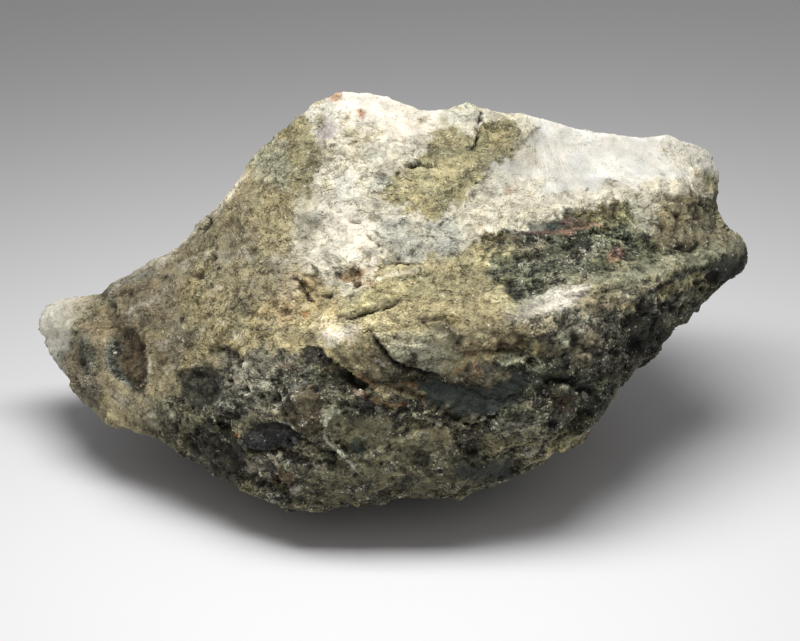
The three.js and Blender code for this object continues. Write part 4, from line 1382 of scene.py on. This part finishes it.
# %% [markdown]
# ## Painted shade, stain and painted light
#
# Hollows get painted shade and ridges are made paler. How hollow a point is shows when the skin is smoothed
# for a moment: a point that rises in the smoothing sat in a hollow. The Geometry node's Pointiness gives
# the same, but an attribute also survives an export. Soft noise then stains the stone unevenly, pockets get
# painted shade, dark chips get painted light as if their faces caught the lamp, and a list of ovals paints
# light and shade onto single places, with some stain.

# %% Hollows and edges
soft = relaxed(points, triangles, (0.6,) * 8)
cavity = ((soft - points) * normals_of(soft, triangles)).sum(1) / MM
# painted shade in hollows, deeper on dark rock, and paler ridges
hollow_shade_paler_ridges = (0.42 + 0.2 * dark) * eased(cavity / 0.5) - (0.25 + 0.35 * dark) * eased(-cavity / 0.4)
print("hollows from", round(float(cavity.min()), 2), "to", round(float(cavity.max()), 2), "mm")

# %% Uneven stain, painted chip light and pocket shade
lighter = 1 + 0.14 * ripple(place, 7.0, 4, 61.0) + 0.12 * ripple(place, 2.2, 3, 62.0)
warmer = 0.05 * ripple(place, 5.0, 4, 63.0) + 0.03 * ripple(place, 1.8, 3, 64.0)
warmer *= 1.3 - coat[:, 0]
stain_and_painted_light = np.clip(lighter, 0.6, 1.5)[:, None] * (1 + np.outer(warmer, (1.0, 0.1, -1.2)))
# dark chips get painted light as their faces would catch the lamp, and pockets get painted shade
stain_and_painted_light *= (chip_tone_and_facet_light * (1 - 0.45 * pocket) * (1.18 - 0.2 * coat[:, 0]))[:, None] * (1.01, 1.0, 0.975)
print("stain from", round(float(stain_and_painted_light.min()), 2), "to", round(float(stain_and_painted_light.max()), 2))

# %% Painted light, shade and stain on single places
def oval_light_shade_stain(middle, radii, share, turn=0):
    """Lightens an oval, or darkens it where share is negative, with a wide soft edge: painted light or
    shade, and some stain.
    """
    rows = within(max(radii) * 1.4, laid_flat, [middle])
    depth = depth_in_oval(middle, radii, turn, laid_flat[rows]) / min(radii)
    stain_and_painted_light[rows] *= (1 + share * eased(depth + 0.4) * shown[rows])[:, None]


# these ovals paint light and shade as well as stain: they lighten faces the lamp reaches little and darken
# places under ledges
for middle, radii, share in (
    # the left end and the left flank
    ((-44, 4), (12, 9), -0.08), ((-31, 9), (7, 2.4), -0.2), ((-22, 7), (3.5, 3.5), -0.35),
    ((-29, 4), (4.5, 4), -0.22), ((-39, -6), (2.6, 7), -0.3), ((-47.5, 3), (2, 2), 0.7),
    ((-16, -3), (5, 6), 0.4), ((-28, -3.9), (1.6, 1.4), 0.5), ((-37.4, -12), (2, 1.6), -0.4),
    ((-17, 28), (4, 6), -0.15), ((-15.6, 15.4), (2, 4), -0.35),
    # the crust and the slab
    ((-14.4, 26), (1.2, 3), -0.2), ((-12, 22.7), (1.4, 1.4), 0.5), ((-6.7, 22.7), (1.2, 1.2), 0.5),
    ((7.4, 24), (2.6, 3.4), 0.4), ((-3, 22.2), (1.6, 1), 0.4), ((22.6, 30.7), (1.6, 1.4), -0.35),
    ((17.3, 12.4), (1.6, 1.4), -0.35), ((11, 26), (10, 8), -0.13), ((-8, 33), (5, 2), -0.15),
    ((33, 22.6), (5, 1.4), -0.22), ((19.5, 27.5), (3.6, 3.6), -0.3), ((33, 26), (16, 5), -0.08),
    ((14.6, 25.4), (1.8, 1.6), -0.3), ((-1.4, 25.4), (1.6, 1.4), -0.35), ((-5.4, 28), (3, 1.6), -0.18),
    ((2.6, 30.6), (2.2, 1.4), -0.25), ((12, 33.8), (1.4, 1), -0.3), ((-14, 17), (5, 1.6), -0.2),
    ((-16, 22.6), (2.4, 2), -0.25), ((-7, 10.2), (3.4, 1.2), 0.5),
    # the belly
    ((-5, -0.6), (12, 4.4), 0.28), ((20.5, 0.4), (3, 1.8), -0.35), ((10, 6), (9, 6), -0.1),
    ((-11, -5), (3, 2.4), 0.6), ((-4, -1), (3.4, 1.8), 0.4), ((9.4, -2.2), (3, 1.8), -0.4),
    ((5.4, -1.2), (2, 1.2), -0.35), ((-7, -1.2), (3.4, 1.2), -0.2), ((1.6, -17.2), (1.8, 1.2), 0.5),
    ((7.6, -1.2), (1.8, 1), -0.35), ((18.6, -15), (2.4, 1.8), -0.5), ((-9, -9.2), (2.4, 1.2), 1.0),
    ((7, -1), (2, 1.4), -0.5), ((15.6, -1.3), (2.6, 1.4), -0.35), ((6, -6.6), (3.4, 2.4), 0.35),
    ((15, -7.4), (5, 1.6), 0.8), ((20, -6), (6, 1.6), 0.9),
    # the lower face
    ((0, -22), (34, 9), 0.12), ((-20, -9), (7, 6), 0.45), ((13, -9.2), (6, 1.2), 0.7),
    ((-30, -12), (12, 6), 0.25), ((-31, -11), (8, 5), 0.35), ((-25, -9), (6, 4), 0.4),
    ((-22, -12.5), (4, 3), 0.45), ((-28, -18.6), (3, 2), 0.5), ((-20, -18), (4, 0.9), 0.7),
    ((-20.6, -20.2), (4, 0.8), -0.45), ((-21, -24), (8, 5), 0.6), ((-24.5, -26.4), (2, 1.6), 0.6),
    ((-9, -19), (3, 1.6), 0.35), ((-3, -21), (10, 6), 0.45), ((3, -18), (5, 1.6), 0.5),
    ((9, -16), (5, 1.2), -0.5), ((3, -14.4), (2, 1.2), -0.55),
    # the right side
    ((27.9, 17.4), (1.6, 1.2), 0.5), ((36, 17.4), (1.6, 1.2), 0.45), ((41.3, 12.1), (1.6, 1.4), 0.6),
    ((49.2, 7), (1.8, 1.6), 0.7), ((38.6, 1.6), (1.8, 1.6), 0.7), ((45, 3.4), (3, 1.8), 0.35),
    ((50.6, 6.8), (1.6, 2), 0.5), ((25, 10), (10, 6), 0.45), ((21, 8), (5, 2.6), 0.3),
    ((18, 4.2), (5, 1.8), 0.35), ((37, 1.4), (3, 2), 0.5), ((15.2, 11.8), (3.4, 3), 0.8),
    ((45.4, 17.4), (2.4, 2.4), 0.7), ((57, 16), (4, 4), 0.15), ((49.2, 23.4), (1.6, 2.2), 0.5),
    ((53.2, 22.4), (1.2, 2.4), -0.4), ((28, -2), (5, 5), 1.2), ((27, -12), (6, 3), -0.3),
    ((22, -6), (3, 2.4), 0.5), ((21.5, -10.4), (2, 1.4), -0.4), ((22.6, -20), (7, 5), 0.75),
    ((15.6, -25), (5, 1.6), -0.35), ((12, -12.6), (8, 2.6), -0.25), ((56.6, 8.2), (1.8, 1.6), -0.4),
):
    oval_light_shade_stain(middle, radii, share)
oval_light_shade_stain((-27, 20), (9, 4.5), 0.35, 55)
oval_light_shade_stain((-3, 4.5), (6, 2.4), 0.6, 20)
oval_light_shade_stain((-22, -24.6), (3.6, 2), 0.9, 25)
oval_light_shade_stain((35.5, 15), (4, 6), 0.7, 5)
oval_light_shade_stain((46.4, 12.2), (5, 1.4), -0.45, 10)
oval_light_shade_stain((42, 4), (14, 6), 0.3, 15)
coat[:, 0:3] *= stain_and_painted_light
coat[:, 3:6] *= stain_and_painted_light
coat[:, 10] = np.clip(coat[:, 10] * (1 + 1.2 * ripple(place, 4.0, 4, 65.0)), 0, 1)
print("stain and bleaching from", round(float(stain_and_painted_light.min()), 2), "to", round(float(stain_and_painted_light.max()), 2))

# %% [markdown]
# ## The mesh and what it carries
#
# The skin becomes a mesh, and each of its points keeps its mineral in attributes: the two colours, the
# habits, the painted shade of its hollows and the paleness of its ridges, and for silk the way its fibres
# run. Fibres fan out from one place above the slab, so their direction and their distance from it are kept
# in place of u and v. An image on a UV map could hold the same, but attributes need no unwrapping and are
# as fine as the skin is.

# %% Make the mesh
mesh = bpy.data.meshes.new("stone")
mesh.from_pydata(points.tolist(), [], triangles.tolist())
mesh.polygons.foreach_set("use_smooth", [True] * len(mesh.polygons))


def store(name, colours, fourth):
    """Keeps three channels and a fourth at every point of the mesh."""
    layer = mesh.attributes.new(name, "FLOAT_COLOR", "POINT")
    layer.data.foreach_set("color", np.column_stack((colours, fourth)).ravel())


store("ground", coat[:, 0:3], coat[:, 10])
# the speck colour's fourth channel carries the painted shade of hollows and the paler ridges
store("speck", coat[:, 3:6], hollow_shade_paler_ridges)
store("habit", coat[:, 6:9], coat[:, 9])
FAN_ORIGIN = (22.0, 37.0)
ACROSS_FIBRES, ALONG_FIBRES = 16, 0.07
fan = laid_flat - np.array(FAN_ORIGIN)
reach, angle = np.hypot(*fan.T), np.arctan2(fan[:, 1], fan[:, 0])
fibre = mesh.attributes.new("fibre", "FLOAT_VECTOR", "POINT")
directions = np.column_stack((angle * ACROSS_FIBRES, reach * ALONG_FIBRES, 0 * reach))
fibre.data.foreach_set("vector", directions.ravel())
own = mesh.attributes.new("own", "FLOAT", "POINT")
own.data.foreach_set("value", np.ones(len(points)))
stone = bpy.data.objects.new("stone", mesh)
bpy.context.scene.collection.objects.link(stone)
print("stone:", len(mesh.polygons), "triangles")

# %% [markdown]
# ## Crystals of the rock
#
# One material covers the skin. Voronoi textures split it into cells: fine crystals under half a millimetre
# across, crystals of one millimetre, blocks of two or three, and thin slivers. Each cell has random numbers
# of its own, which later become its tone, its tilt and its glint. Noise adds clouds, pits and hairlines,
# and the edges of stretched cells add short fractures. Noise alone would look like stone from afar, but
# crystals have edges. The places are bent a little by noise first, because real crystals don't have ruled
# sides.

# %% Crystals of the rock
rock = Finish("vein_rock")
where = rock.place()
ground, speck = rock.attribute("ground"), rock.attribute("speck")
share, grainy, shiny = rock.parts(rock.attribute("habit"))
# the painted shade of hollows and the paler ridges come in with the speck colour
silky, shade_in_hollows_paler_ridges = rock.attribute("habit", "Alpha"), rock.attribute("speck", "Alpha")
flecked = rock.attribute("ground", "Alpha")
# each grain's tone: mostly random, its rare high values painted glints
grain_tone_and_glint = rock.attribute("own", "Fac")


def cells(vector, size, output="Color", feature="F1"):
    """Random colours of cells `size` millimetres across, or distances within them."""
    values = {"Vector": vector, "Scale": 1 / (size * MM)}
    return rock.node("ShaderNodeTexVoronoi", {"feature": feature}, values, output)


def clouds(vector, size, detail, rough=0.65, output="Fac"):
    """Soft noise with clouds `size` millimetres across."""
    values = {"Vector": vector, "Scale": 1 / (size * MM), "Detail": detail, "Roughness": rough}
    return rock.node("ShaderNodeTexNoise", {}, values, output)


def bent_by(size, detail, rough, reach):
    """Places pushed about by noise, by up to reach millimetres."""
    return rock.vector("ADD", where, rock.scaled(clouds(where, size, detail, rough, "Color"), reach * MM))


def aside(x, y, z, places=where):
    """Places shifted, so that two textures of one kind don't fall together."""
    return rock.vector("ADD", places, (x, y, z))


FINE, CRYSTAL, BLOCK, SLIVER, FRACTURE = 0.4, 1.0, 2.6, 0.75, 2.1
bent = bent_by(1.3, 3, 0.6, 0.7)
very_bent = bent_by(3.0, 4, 0.65, 2.8)
fine_chance, fine_tone, fine_glint = rock.parts(cells(bent, FINE))
joint = cells(bent, FINE, "Distance")
crystal = cells(bent, CRYSTAL)
crystal_chance, crystal_tone, _ = rock.parts(crystal)
block = cells(very_bent, BLOCK)
_, block_tone, block_height = rock.parts(block)
sliver = cells(rock.vector("MULTIPLY", aside(0.03, 0.06, 0.02, bent), (0.4, 1.0, 1.0)), SLIVER)
_, sliver_tone, sliver_chance = rock.parts(sliver)
print("crystals:", len(rock.tree.nodes), "nodes")

# %% Clouds, hairlines, fractures and fibres
broad = clouds(where, 2.6, 7, 0.72)
warmth = clouds(aside(0.3, 0.2, 0.1), 3.4, 5, 0.7)
pits = clouds(aside(0.1, 0.4, 0.7), 1.0, 4, 0.7)
hairline = abs(clouds(aside(0.5, 0.6, 0.2), 5.0, 5, 0.62) - 0.5).step(0.003, 0.009)
stretched = rock.vector("MULTIPLY", bent_by(2.2, 4, 0.7, 1.6), (0.7, 1.0, 1.0))
fracture_edge = cells(stretched, FRACTURE, "Distance", "DISTANCE_TO_EDGE")
fracture_gate = clouds(aside(0.2, 0.8, 0.5), 3.2, 4, 0.65).step(0.5, 0.6)
fracture = (1 - fracture_edge.step(0.02, 0.1)) * fracture_gate
strand_values = {"Vector": rock.attribute("fibre", "Vector"), "Scale": 2.2, "Detail": 5.0, "Roughness": 0.6}
strand = rock.node("ShaderNodeTexNoise", {}, strand_values, "Fac")
bedding = clouds(rock.vector("MULTIPLY", bent, (0.22, 1.0, 1.0)), 0.7, 4, 0.65)
print("crystals and clouds:", len(rock.tree.nodes), "nodes")

# %% [markdown]
# ## Colour of the rock
#
# A cell takes the ground colour or the speck colour by chance, in the share its mineral has. `light` then
# makes cells, blocks and slivers lighter or darker, the more so the grainier the mineral is, darkens
# joints, pits and fractures, adds painted shade in hollows and makes ridges paler. Rare bright grains are
# painted glints. Pale flecks come on top, partly vein crystal and partly painted glints, and clouds warm or
# cool the whole. One colour ramp on noise would be simpler, but then every mineral would be mottled in the
# same way.

# %% Colour of the rock
chance = fine_chance * 0.4 + crystal_chance * 0.3 + ((broad - 0.5) * 2.4 + 0.5) * 0.3
is_speck = (share * 1.1 + 0.08 - chance).step(-0.04, 0.05)
light = 1 + (fine_tone - 0.5) * grainy * 0.5 + (crystal_tone - 0.5) * grainy * 0.3
light = light + (block_tone - 0.5) * grainy * 0.22 + (broad - 0.5) * (grainy * 1.8 + 0.2)
light = light + (strand - 0.5) * silky * 0.2 + (bedding - 0.5) * grainy * 0.7
light = light * (1 - joint.step(0.45, 0.95) * grainy * 0.25) * (1 - pits.step(0.6, 0.68) * grainy * 0.45)
light = light + (sliver_tone - 0.5) * grainy * 0.5 - sliver_chance.step(0.86, 0.9) * grainy * 0.3
light = light * (1 - fracture * (grainy * 0.75).clamped())
# a high grain tone paints a glint: the grain turns pale
pale_grain = grain_tone_and_glint.step(1.25, 2.6)
# bright grains stay painted glints, hollows get painted shade and ridges turn paler
light = light * grain_tone_and_glint.smaller(1.3) * (1 - shade_in_hollows_paler_ridges)
light = light * (1 - (1 - hairline) * pits.step(0.42, 0.56) * 0.4)
print("tones of the rock:", len(rock.tree.nodes), "nodes")

# %% Flecks, warmth and roughness
FLECK = 0.3
# pale flecks: partly vein crystal, partly painted glints on dark rock
FLECK_AND_GLINT_COLOUR = (0.66, 0.62, 0.5, 1)
GLINT_GRAIN_COLOUR = (0.52, 0.5, 0.43, 1)
fleck_chance, fleck_tone, _ = rock.parts(cells(aside(0.05, 0.03, 0.07, bent), FLECK))
fleck_place = clouds(aside(0.7, 0.1, 0.4), 1.6, 5, 0.7).step(0.4, 0.66)
fleck_and_glint = (flecked * fleck_place * 0.75 - fleck_chance).step(0.0, 0.05) * (0.3 + fleck_tone * 0.55)
colour = rock.mix(fleck_and_glint, rock.mix(is_speck, ground, speck), FLECK_AND_GLINT_COLOUR)
colour = rock.mix(pale_grain * 0.85, colour, GLINT_GRAIN_COLOUR)
colour = rock.scaled(colour, light)
tinted = grainy * 0.8 + 0.2
colour = rock.mix(warmth.step(0.5, 0.66) * tinted * 0.7, colour, (1.05, 0.98, 0.86, 1), "MULTIPLY")
colour = rock.mix((1 - warmth.step(0.36, 0.5)) * tinted, colour, (0.97, 1.0, 1.0, 1), "MULTIPLY")
rock.feed(rock.shader.inputs["Base Color"], colour)
glint = (fine_glint + shiny * 0.4 - 1.1).step(0.0, 0.08)
rock.feed(rock.shader.inputs["Roughness"], (0.85 - shiny * 0.35 - glint * 0.3).clamped())
print("colour of the rock:", len(rock.tree.nodes), "nodes")

# %% [markdown]
# ## Bumps of the rock
#
# Every crystal, block and sliver leans its own way, so some catch the lamp and glint while their neighbours
# stay dull. The lean is added to the surface's own direction, which a Bump node then refines with the
# joints, pits and fibres. Bump alone would only round the cells, and real facets would take millions of
# triangles.

# %% Bumps of the rock
flat = rock.node("ShaderNodeNewGeometry", {}, {}, "Normal")


def lean_of(random_colour, amount):
    """A random lean for each cell, from its random colour."""
    return rock.scaled(rock.vector("SUBTRACT", random_colour, (0.5, 0.5, 0.5)), amount)


leaning = rock.vector("ADD", lean_of(crystal, grainy * 0.7 + glint * 0.3), lean_of(block, grainy * 0.45))
leaning = rock.vector("ADD", leaning, lean_of(sliver, grainy * 0.65))
leaning = rock.vector("NORMALIZE", rock.vector("ADD", flat, leaning))
raised = broad * 1.2 - joint * 0.3 + fine_tone * 0.14 + crystal_tone * 0.14 + block_height * 0.2
raised = (raised - pits.step(0.56, 0.7) * 0.35) * (grainy * 0.85 + 0.15)
raised = raised + strand * silky * 0.3 + bedding * grainy * 0.6 - fracture * grainy * 0.35
bump_values = {"Strength": 0.85, "Distance": 0.9 * MM, "Height": raised, "Normal": leaning}
bump = rock.node("ShaderNodeBump", {}, bump_values)
rock.feed(rock.shader.inputs["Normal"], bump)
rock.shader.inputs["Specular IOR Level"].default_value = 0.35
mesh.materials.append(rock.material)
print("finish of the rock:", len(rock.tree.nodes), "nodes")

# %% [markdown]
# ## Chips and grains
#
# Broken crystal rock is rough to the touch: thin chips and small crystals stand out of it by a fraction of
# a millimetre. They repeat by the thousand, so Geometry Nodes scatter them over the skin. A chip lies flat
# with a little tilt, and a crystal is turned at random and half sunk. Each inherits the minerals of the
# place it sits on, so it needs no colours of its own, only a tone a little lighter or darker than its
# neighbours; the rare much brighter grains on dark rock are painted glints. A particle system could scatter
# them too, but it would not carry the minerals along.

# %% A crystal and a chip
rng = np.random.default_rng(7)


def small_model(name, corners, faces):
    """A loose object to scatter, a millimetre or two across. It is never shown itself."""
    model = bpy.data.meshes.new(name)
    model.from_pydata((np.array(corners) * MM).tolist(), [], faces)
    print(name + ":", len(faces), "faces")
    return bpy.data.objects.new(name, model)


tips = np.array([(1, 0, 0), (-1, 0, 0), (0, 1, 0), (0, -1, 0), (0, 0, 1), (0, 0, -1)])
tips = tips + rng.uniform(-0.16, 0.16, (6, 3))
crystal_model = small_model("crystal", tips, [
    (0, 2, 4), (2, 1, 4), (1, 3, 4), (3, 0, 4), (2, 0, 5), (1, 2, 5), (3, 1, 5), (0, 3, 5),
])
around = np.arange(5) * math.tau / 5 + rng.uniform(-0.35, 0.35, 5)
rim = np.column_stack((np.cos(around), np.sin(around))) * rng.uniform(0.75, 1.1, (5, 1))
top = np.column_stack((rim * 0.72, 0.2 + 0.1 * rim[:, 0]))
bottom = np.column_stack((rim, np.full(5, -0.35)))
chip_faces = [(0, 1, 2), (0, 2, 3), (0, 3, 4), (7, 6, 5), (8, 7, 5), (9, 8, 5)]
for i in range(5):
    after = (i + 1) % 5
    chip_faces += [(i, i + 5, after), (i + 5, after + 5, after)]
chip_model = small_model("chip", np.concatenate((top, bottom)), chip_faces)

# %% [markdown]
# The node tree has a named input for every size and chance. It spreads points over the skin, sets a model
# on each, turns and stretches it at random, stores its tone, and at last makes real mesh of all and gives
# it the rock's own material. Four modifiers with other inputs then give four kinds of grit from one tree.

# %% Nodes that scatter them
scatter = bpy.data.node_groups.new("scatter_chips", "GeometryNodeTree")
for name, kind in (
    ("Skin", "Geometry"), ("Model", "Object"), ("Share attribute", "String"),
    ("Number per square metre", "Float"), ("Smallest", "Float"), ("Largest", "Float"),
    ("Rarity of large", "Float"), ("Tilt", "Float"), ("Darkest", "Float"), ("Brightest", "Float"),
    ("Rarity of bright", "Float"), ("Seed", "Int"), ("Finish", "Material"),
):
    scatter.interface.new_socket(name, in_out="INPUT", socket_type="NodeSocket" + kind)
scatter.interface.new_socket("Chips", in_out="OUTPUT", socket_type="NodeSocketGeometry")


def scatter_node(kind, settings, links):
    """A node of the scatter tree: its settings first, then the values or links of its sockets."""
    new = scatter.nodes.new(kind)
    for name, value in settings.items():
        setattr(new, name, value)
    for name, value in links.items():
        if isinstance(value, bpy.types.NodeSocket):
            scatter.links.new(value, new.inputs[name])
        else:
            new.inputs[name].default_value = value
    return new.outputs


def between(low_end, high_end, rarity, seed):
    """A random value for each chip from low_end to high_end, with high ones rare."""
    luck = scatter_node("FunctionNodeRandomValue", {"data_type": "FLOAT"}, {"Seed": seed})
    skewed = scatter_node("ShaderNodeMath", {"operation": "POWER"}, {0: luck[1], 1: rarity})
    values = {"Value": skewed[0], "To Min": low_end, "To Max": high_end}
    return scatter_node("ShaderNodeMapRange", {}, values)[0]


def multiplied(a, b):
    """One vector times another, or times a number."""
    return scatter_node("ShaderNodeVectorMath", {"operation": "MULTIPLY"}, {0: a, 1: b})[0]


def random_vector(low_end, high_end, seed):
    """A vector for each chip, with each part from low_end to high_end."""
    values = {0: (low_end,) * 3, 1: (high_end,) * 3, "Seed": seed}
    return scatter_node("FunctionNodeRandomValue", {"data_type": "FLOAT_VECTOR"}, values)[0]


print("inputs of the tree:", len(scatter.interface.items_tree) - 1)

# %% Build the scatter tree
given = scatter_node("NodeGroupInput", {}, {})
share_name = {"Name": given["Share attribute"]}
share_here = scatter_node("GeometryNodeInputNamedAttribute", {"data_type": "FLOAT"}, share_name)
density = scatter_node("ShaderNodeMath", {"operation": "MULTIPLY"}, {
    0: share_here[0], 1: given["Number per square metre"]})
spread = scatter_node("GeometryNodeDistributePointsOnFaces", {}, {
    "Mesh": given["Skin"], "Density": density[0], "Seed": given["Seed"]})
tilt = given["Tilt"]
lean_limits = scatter_node("ShaderNodeCombineXYZ", {}, {"X": tilt, "Y": tilt, "Z": math.pi})
turned = scatter_node("FunctionNodeRotateRotation", {"rotation_space": "LOCAL"}, {
    "Rotation": spread["Rotation"], "Rotate By": multiplied(random_vector(-1, 1, 1), lean_limits[0])})
stretch = random_vector(0.6, 1.3, 2)
size = between(given["Smallest"], given["Largest"], given["Rarity of large"], 4)
model = scatter_node("GeometryNodeObjectInfo", {}, {"Object": given["Model"]})
placed = scatter_node("GeometryNodeInstanceOnPoints", {}, {
    "Points": spread["Points"], "Instance": model["Geometry"], "Rotation": turned[0],
    "Scale": multiplied(stretch, size)})
toned = scatter_node("GeometryNodeStoreNamedAttribute", {"data_type": "FLOAT", "domain": "INSTANCE"}, {
    "Geometry": placed[0], "Name": "own",
    "Value": between(given["Darkest"], given["Brightest"], given["Rarity of bright"], 3)})
whole = scatter_node("GeometryNodeRealizeInstances", {}, {"Geometry": toned[0]})
finished = scatter_node("GeometryNodeSetMaterial", {}, {"Geometry": whole[0], "Material": given["Finish"]})
scatter_node("NodeGroupOutput", {}, {"Chips": finished[0]})
print("scatter tree:", len(scatter.nodes), "nodes")

# %% [markdown]
# To scatter one kind, a carrier object borrows the stone's mesh and the modifier. The evaluated result is
# copied into a plain mesh, and the carrier goes, so no modifier is left. Chips lie nearly flat and grains
# any way up. Where they crowd depends on how grainy and how light the place is.

# %% Scatter one kind
CHIP_TILT, ANY_TILT = 0.3, math.pi
corner_a, corner_b, corner_c = points[triangles].transpose(1, 0, 2)
face_areas = np.linalg.norm(np.cross(corner_b - corner_a, corner_c - corner_a), axis=1) / 2


def scattered(name, model, share, number, sizes, tones, seed):
    """A piece of about `number` chips, most where the share is high. Sizes and tones: from, to, rarity."""
    layer = mesh.attributes.new(name + "_share", "FLOAT", "POINT")
    layer.data.foreach_set("value", share)
    density = number / (face_areas * share[triangles].mean(1)).sum()
    carrier = bpy.data.objects.new("carrier", mesh)
    bpy.context.scene.collection.objects.link(carrier)
    modifier = carrier.modifiers.new("scatter", "NODES")
    modifier.node_group = scatter
    named = {item.name: item.identifier for item in scatter.interface.items_tree if item.in_out == "INPUT"}
    for key, value in {
        "Model": model, "Share attribute": name + "_share", "Number per square metre": float(density),
        "Smallest": sizes[0], "Largest": sizes[1], "Rarity of large": sizes[2],
        "Tilt": CHIP_TILT if model is chip_model else ANY_TILT,
        "Darkest": tones[0], "Brightest": tones[1], "Rarity of bright": tones[2],
        "Seed": seed, "Finish": rock.material,
    }.items():
        modifier[named[key]] = value
    graph = bpy.context.evaluated_depsgraph_get()
    evaluated = carrier.evaluated_get(graph)
    chips_mesh = bpy.data.meshes.new_from_object(evaluated, preserve_all_data_layers=True, depsgraph=graph)
    bpy.data.objects.remove(carrier)
    mesh.attributes.remove(mesh.attributes[name + "_share"])
    chips_mesh.name = name
    piece = bpy.data.objects.new(name, chips_mesh)
    bpy.context.scene.collection.objects.link(piece)
    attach(piece, "root")
    print(name + ":", len(chips_mesh.polygons), "triangles,", round(density / 1e6, 1), "per square mm")


print("skin to scatter on:", round(face_areas.sum() / MM ** 2), "square mm")

# %% Scatter all four kinds
lightness = coat[:, 0]
crowded = eased((ripple(place, 3.0, 4, 66.0) + 0.25) / 0.5)
free = shown * foot * (1 - 0.9 * silk) * eased((grain - 0.25) / 0.3)
pale_share = free * eased((lightness - 0.16) / 0.2)
dark_share = free * (1 - eased((lightness - 0.16) / 0.2))
strewn = eased((ripple(place, 5.0, 3, 67.0) - 0.05) / 0.4)
scattered("pale_chips", chip_model, pale_share * strewn, 900, (0.2, 0.8, 2.0), (0.9, 1.15, 1.0), 1)
scattered("dark_chips", chip_model, dark_share * strewn, 1600, (0.2, 0.9, 2.0), (0.85, 1.6, 2.0), 2)
scattered("pale_grains", crystal_model, pale_share * crowded, 3500, (0.06, 0.22, 1.0), (0.9, 1.18, 1.0), 3)
# dark grains: rare bright ones, up to 2.2 times lighter, are painted glints on the dark rock
flecked_share = dark_share * crowded * coat[:, 10]
scattered("dark_grains", crystal_model, flecked_share, 3500, (0.06, 0.22, 1.0), (1.0, 2.2, 3.0), 4)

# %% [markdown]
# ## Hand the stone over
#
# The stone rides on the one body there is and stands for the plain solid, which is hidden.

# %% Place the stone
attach(stone, "root")
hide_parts("pectolite_rock")
print("stone placed, standing for", rock_node.name)
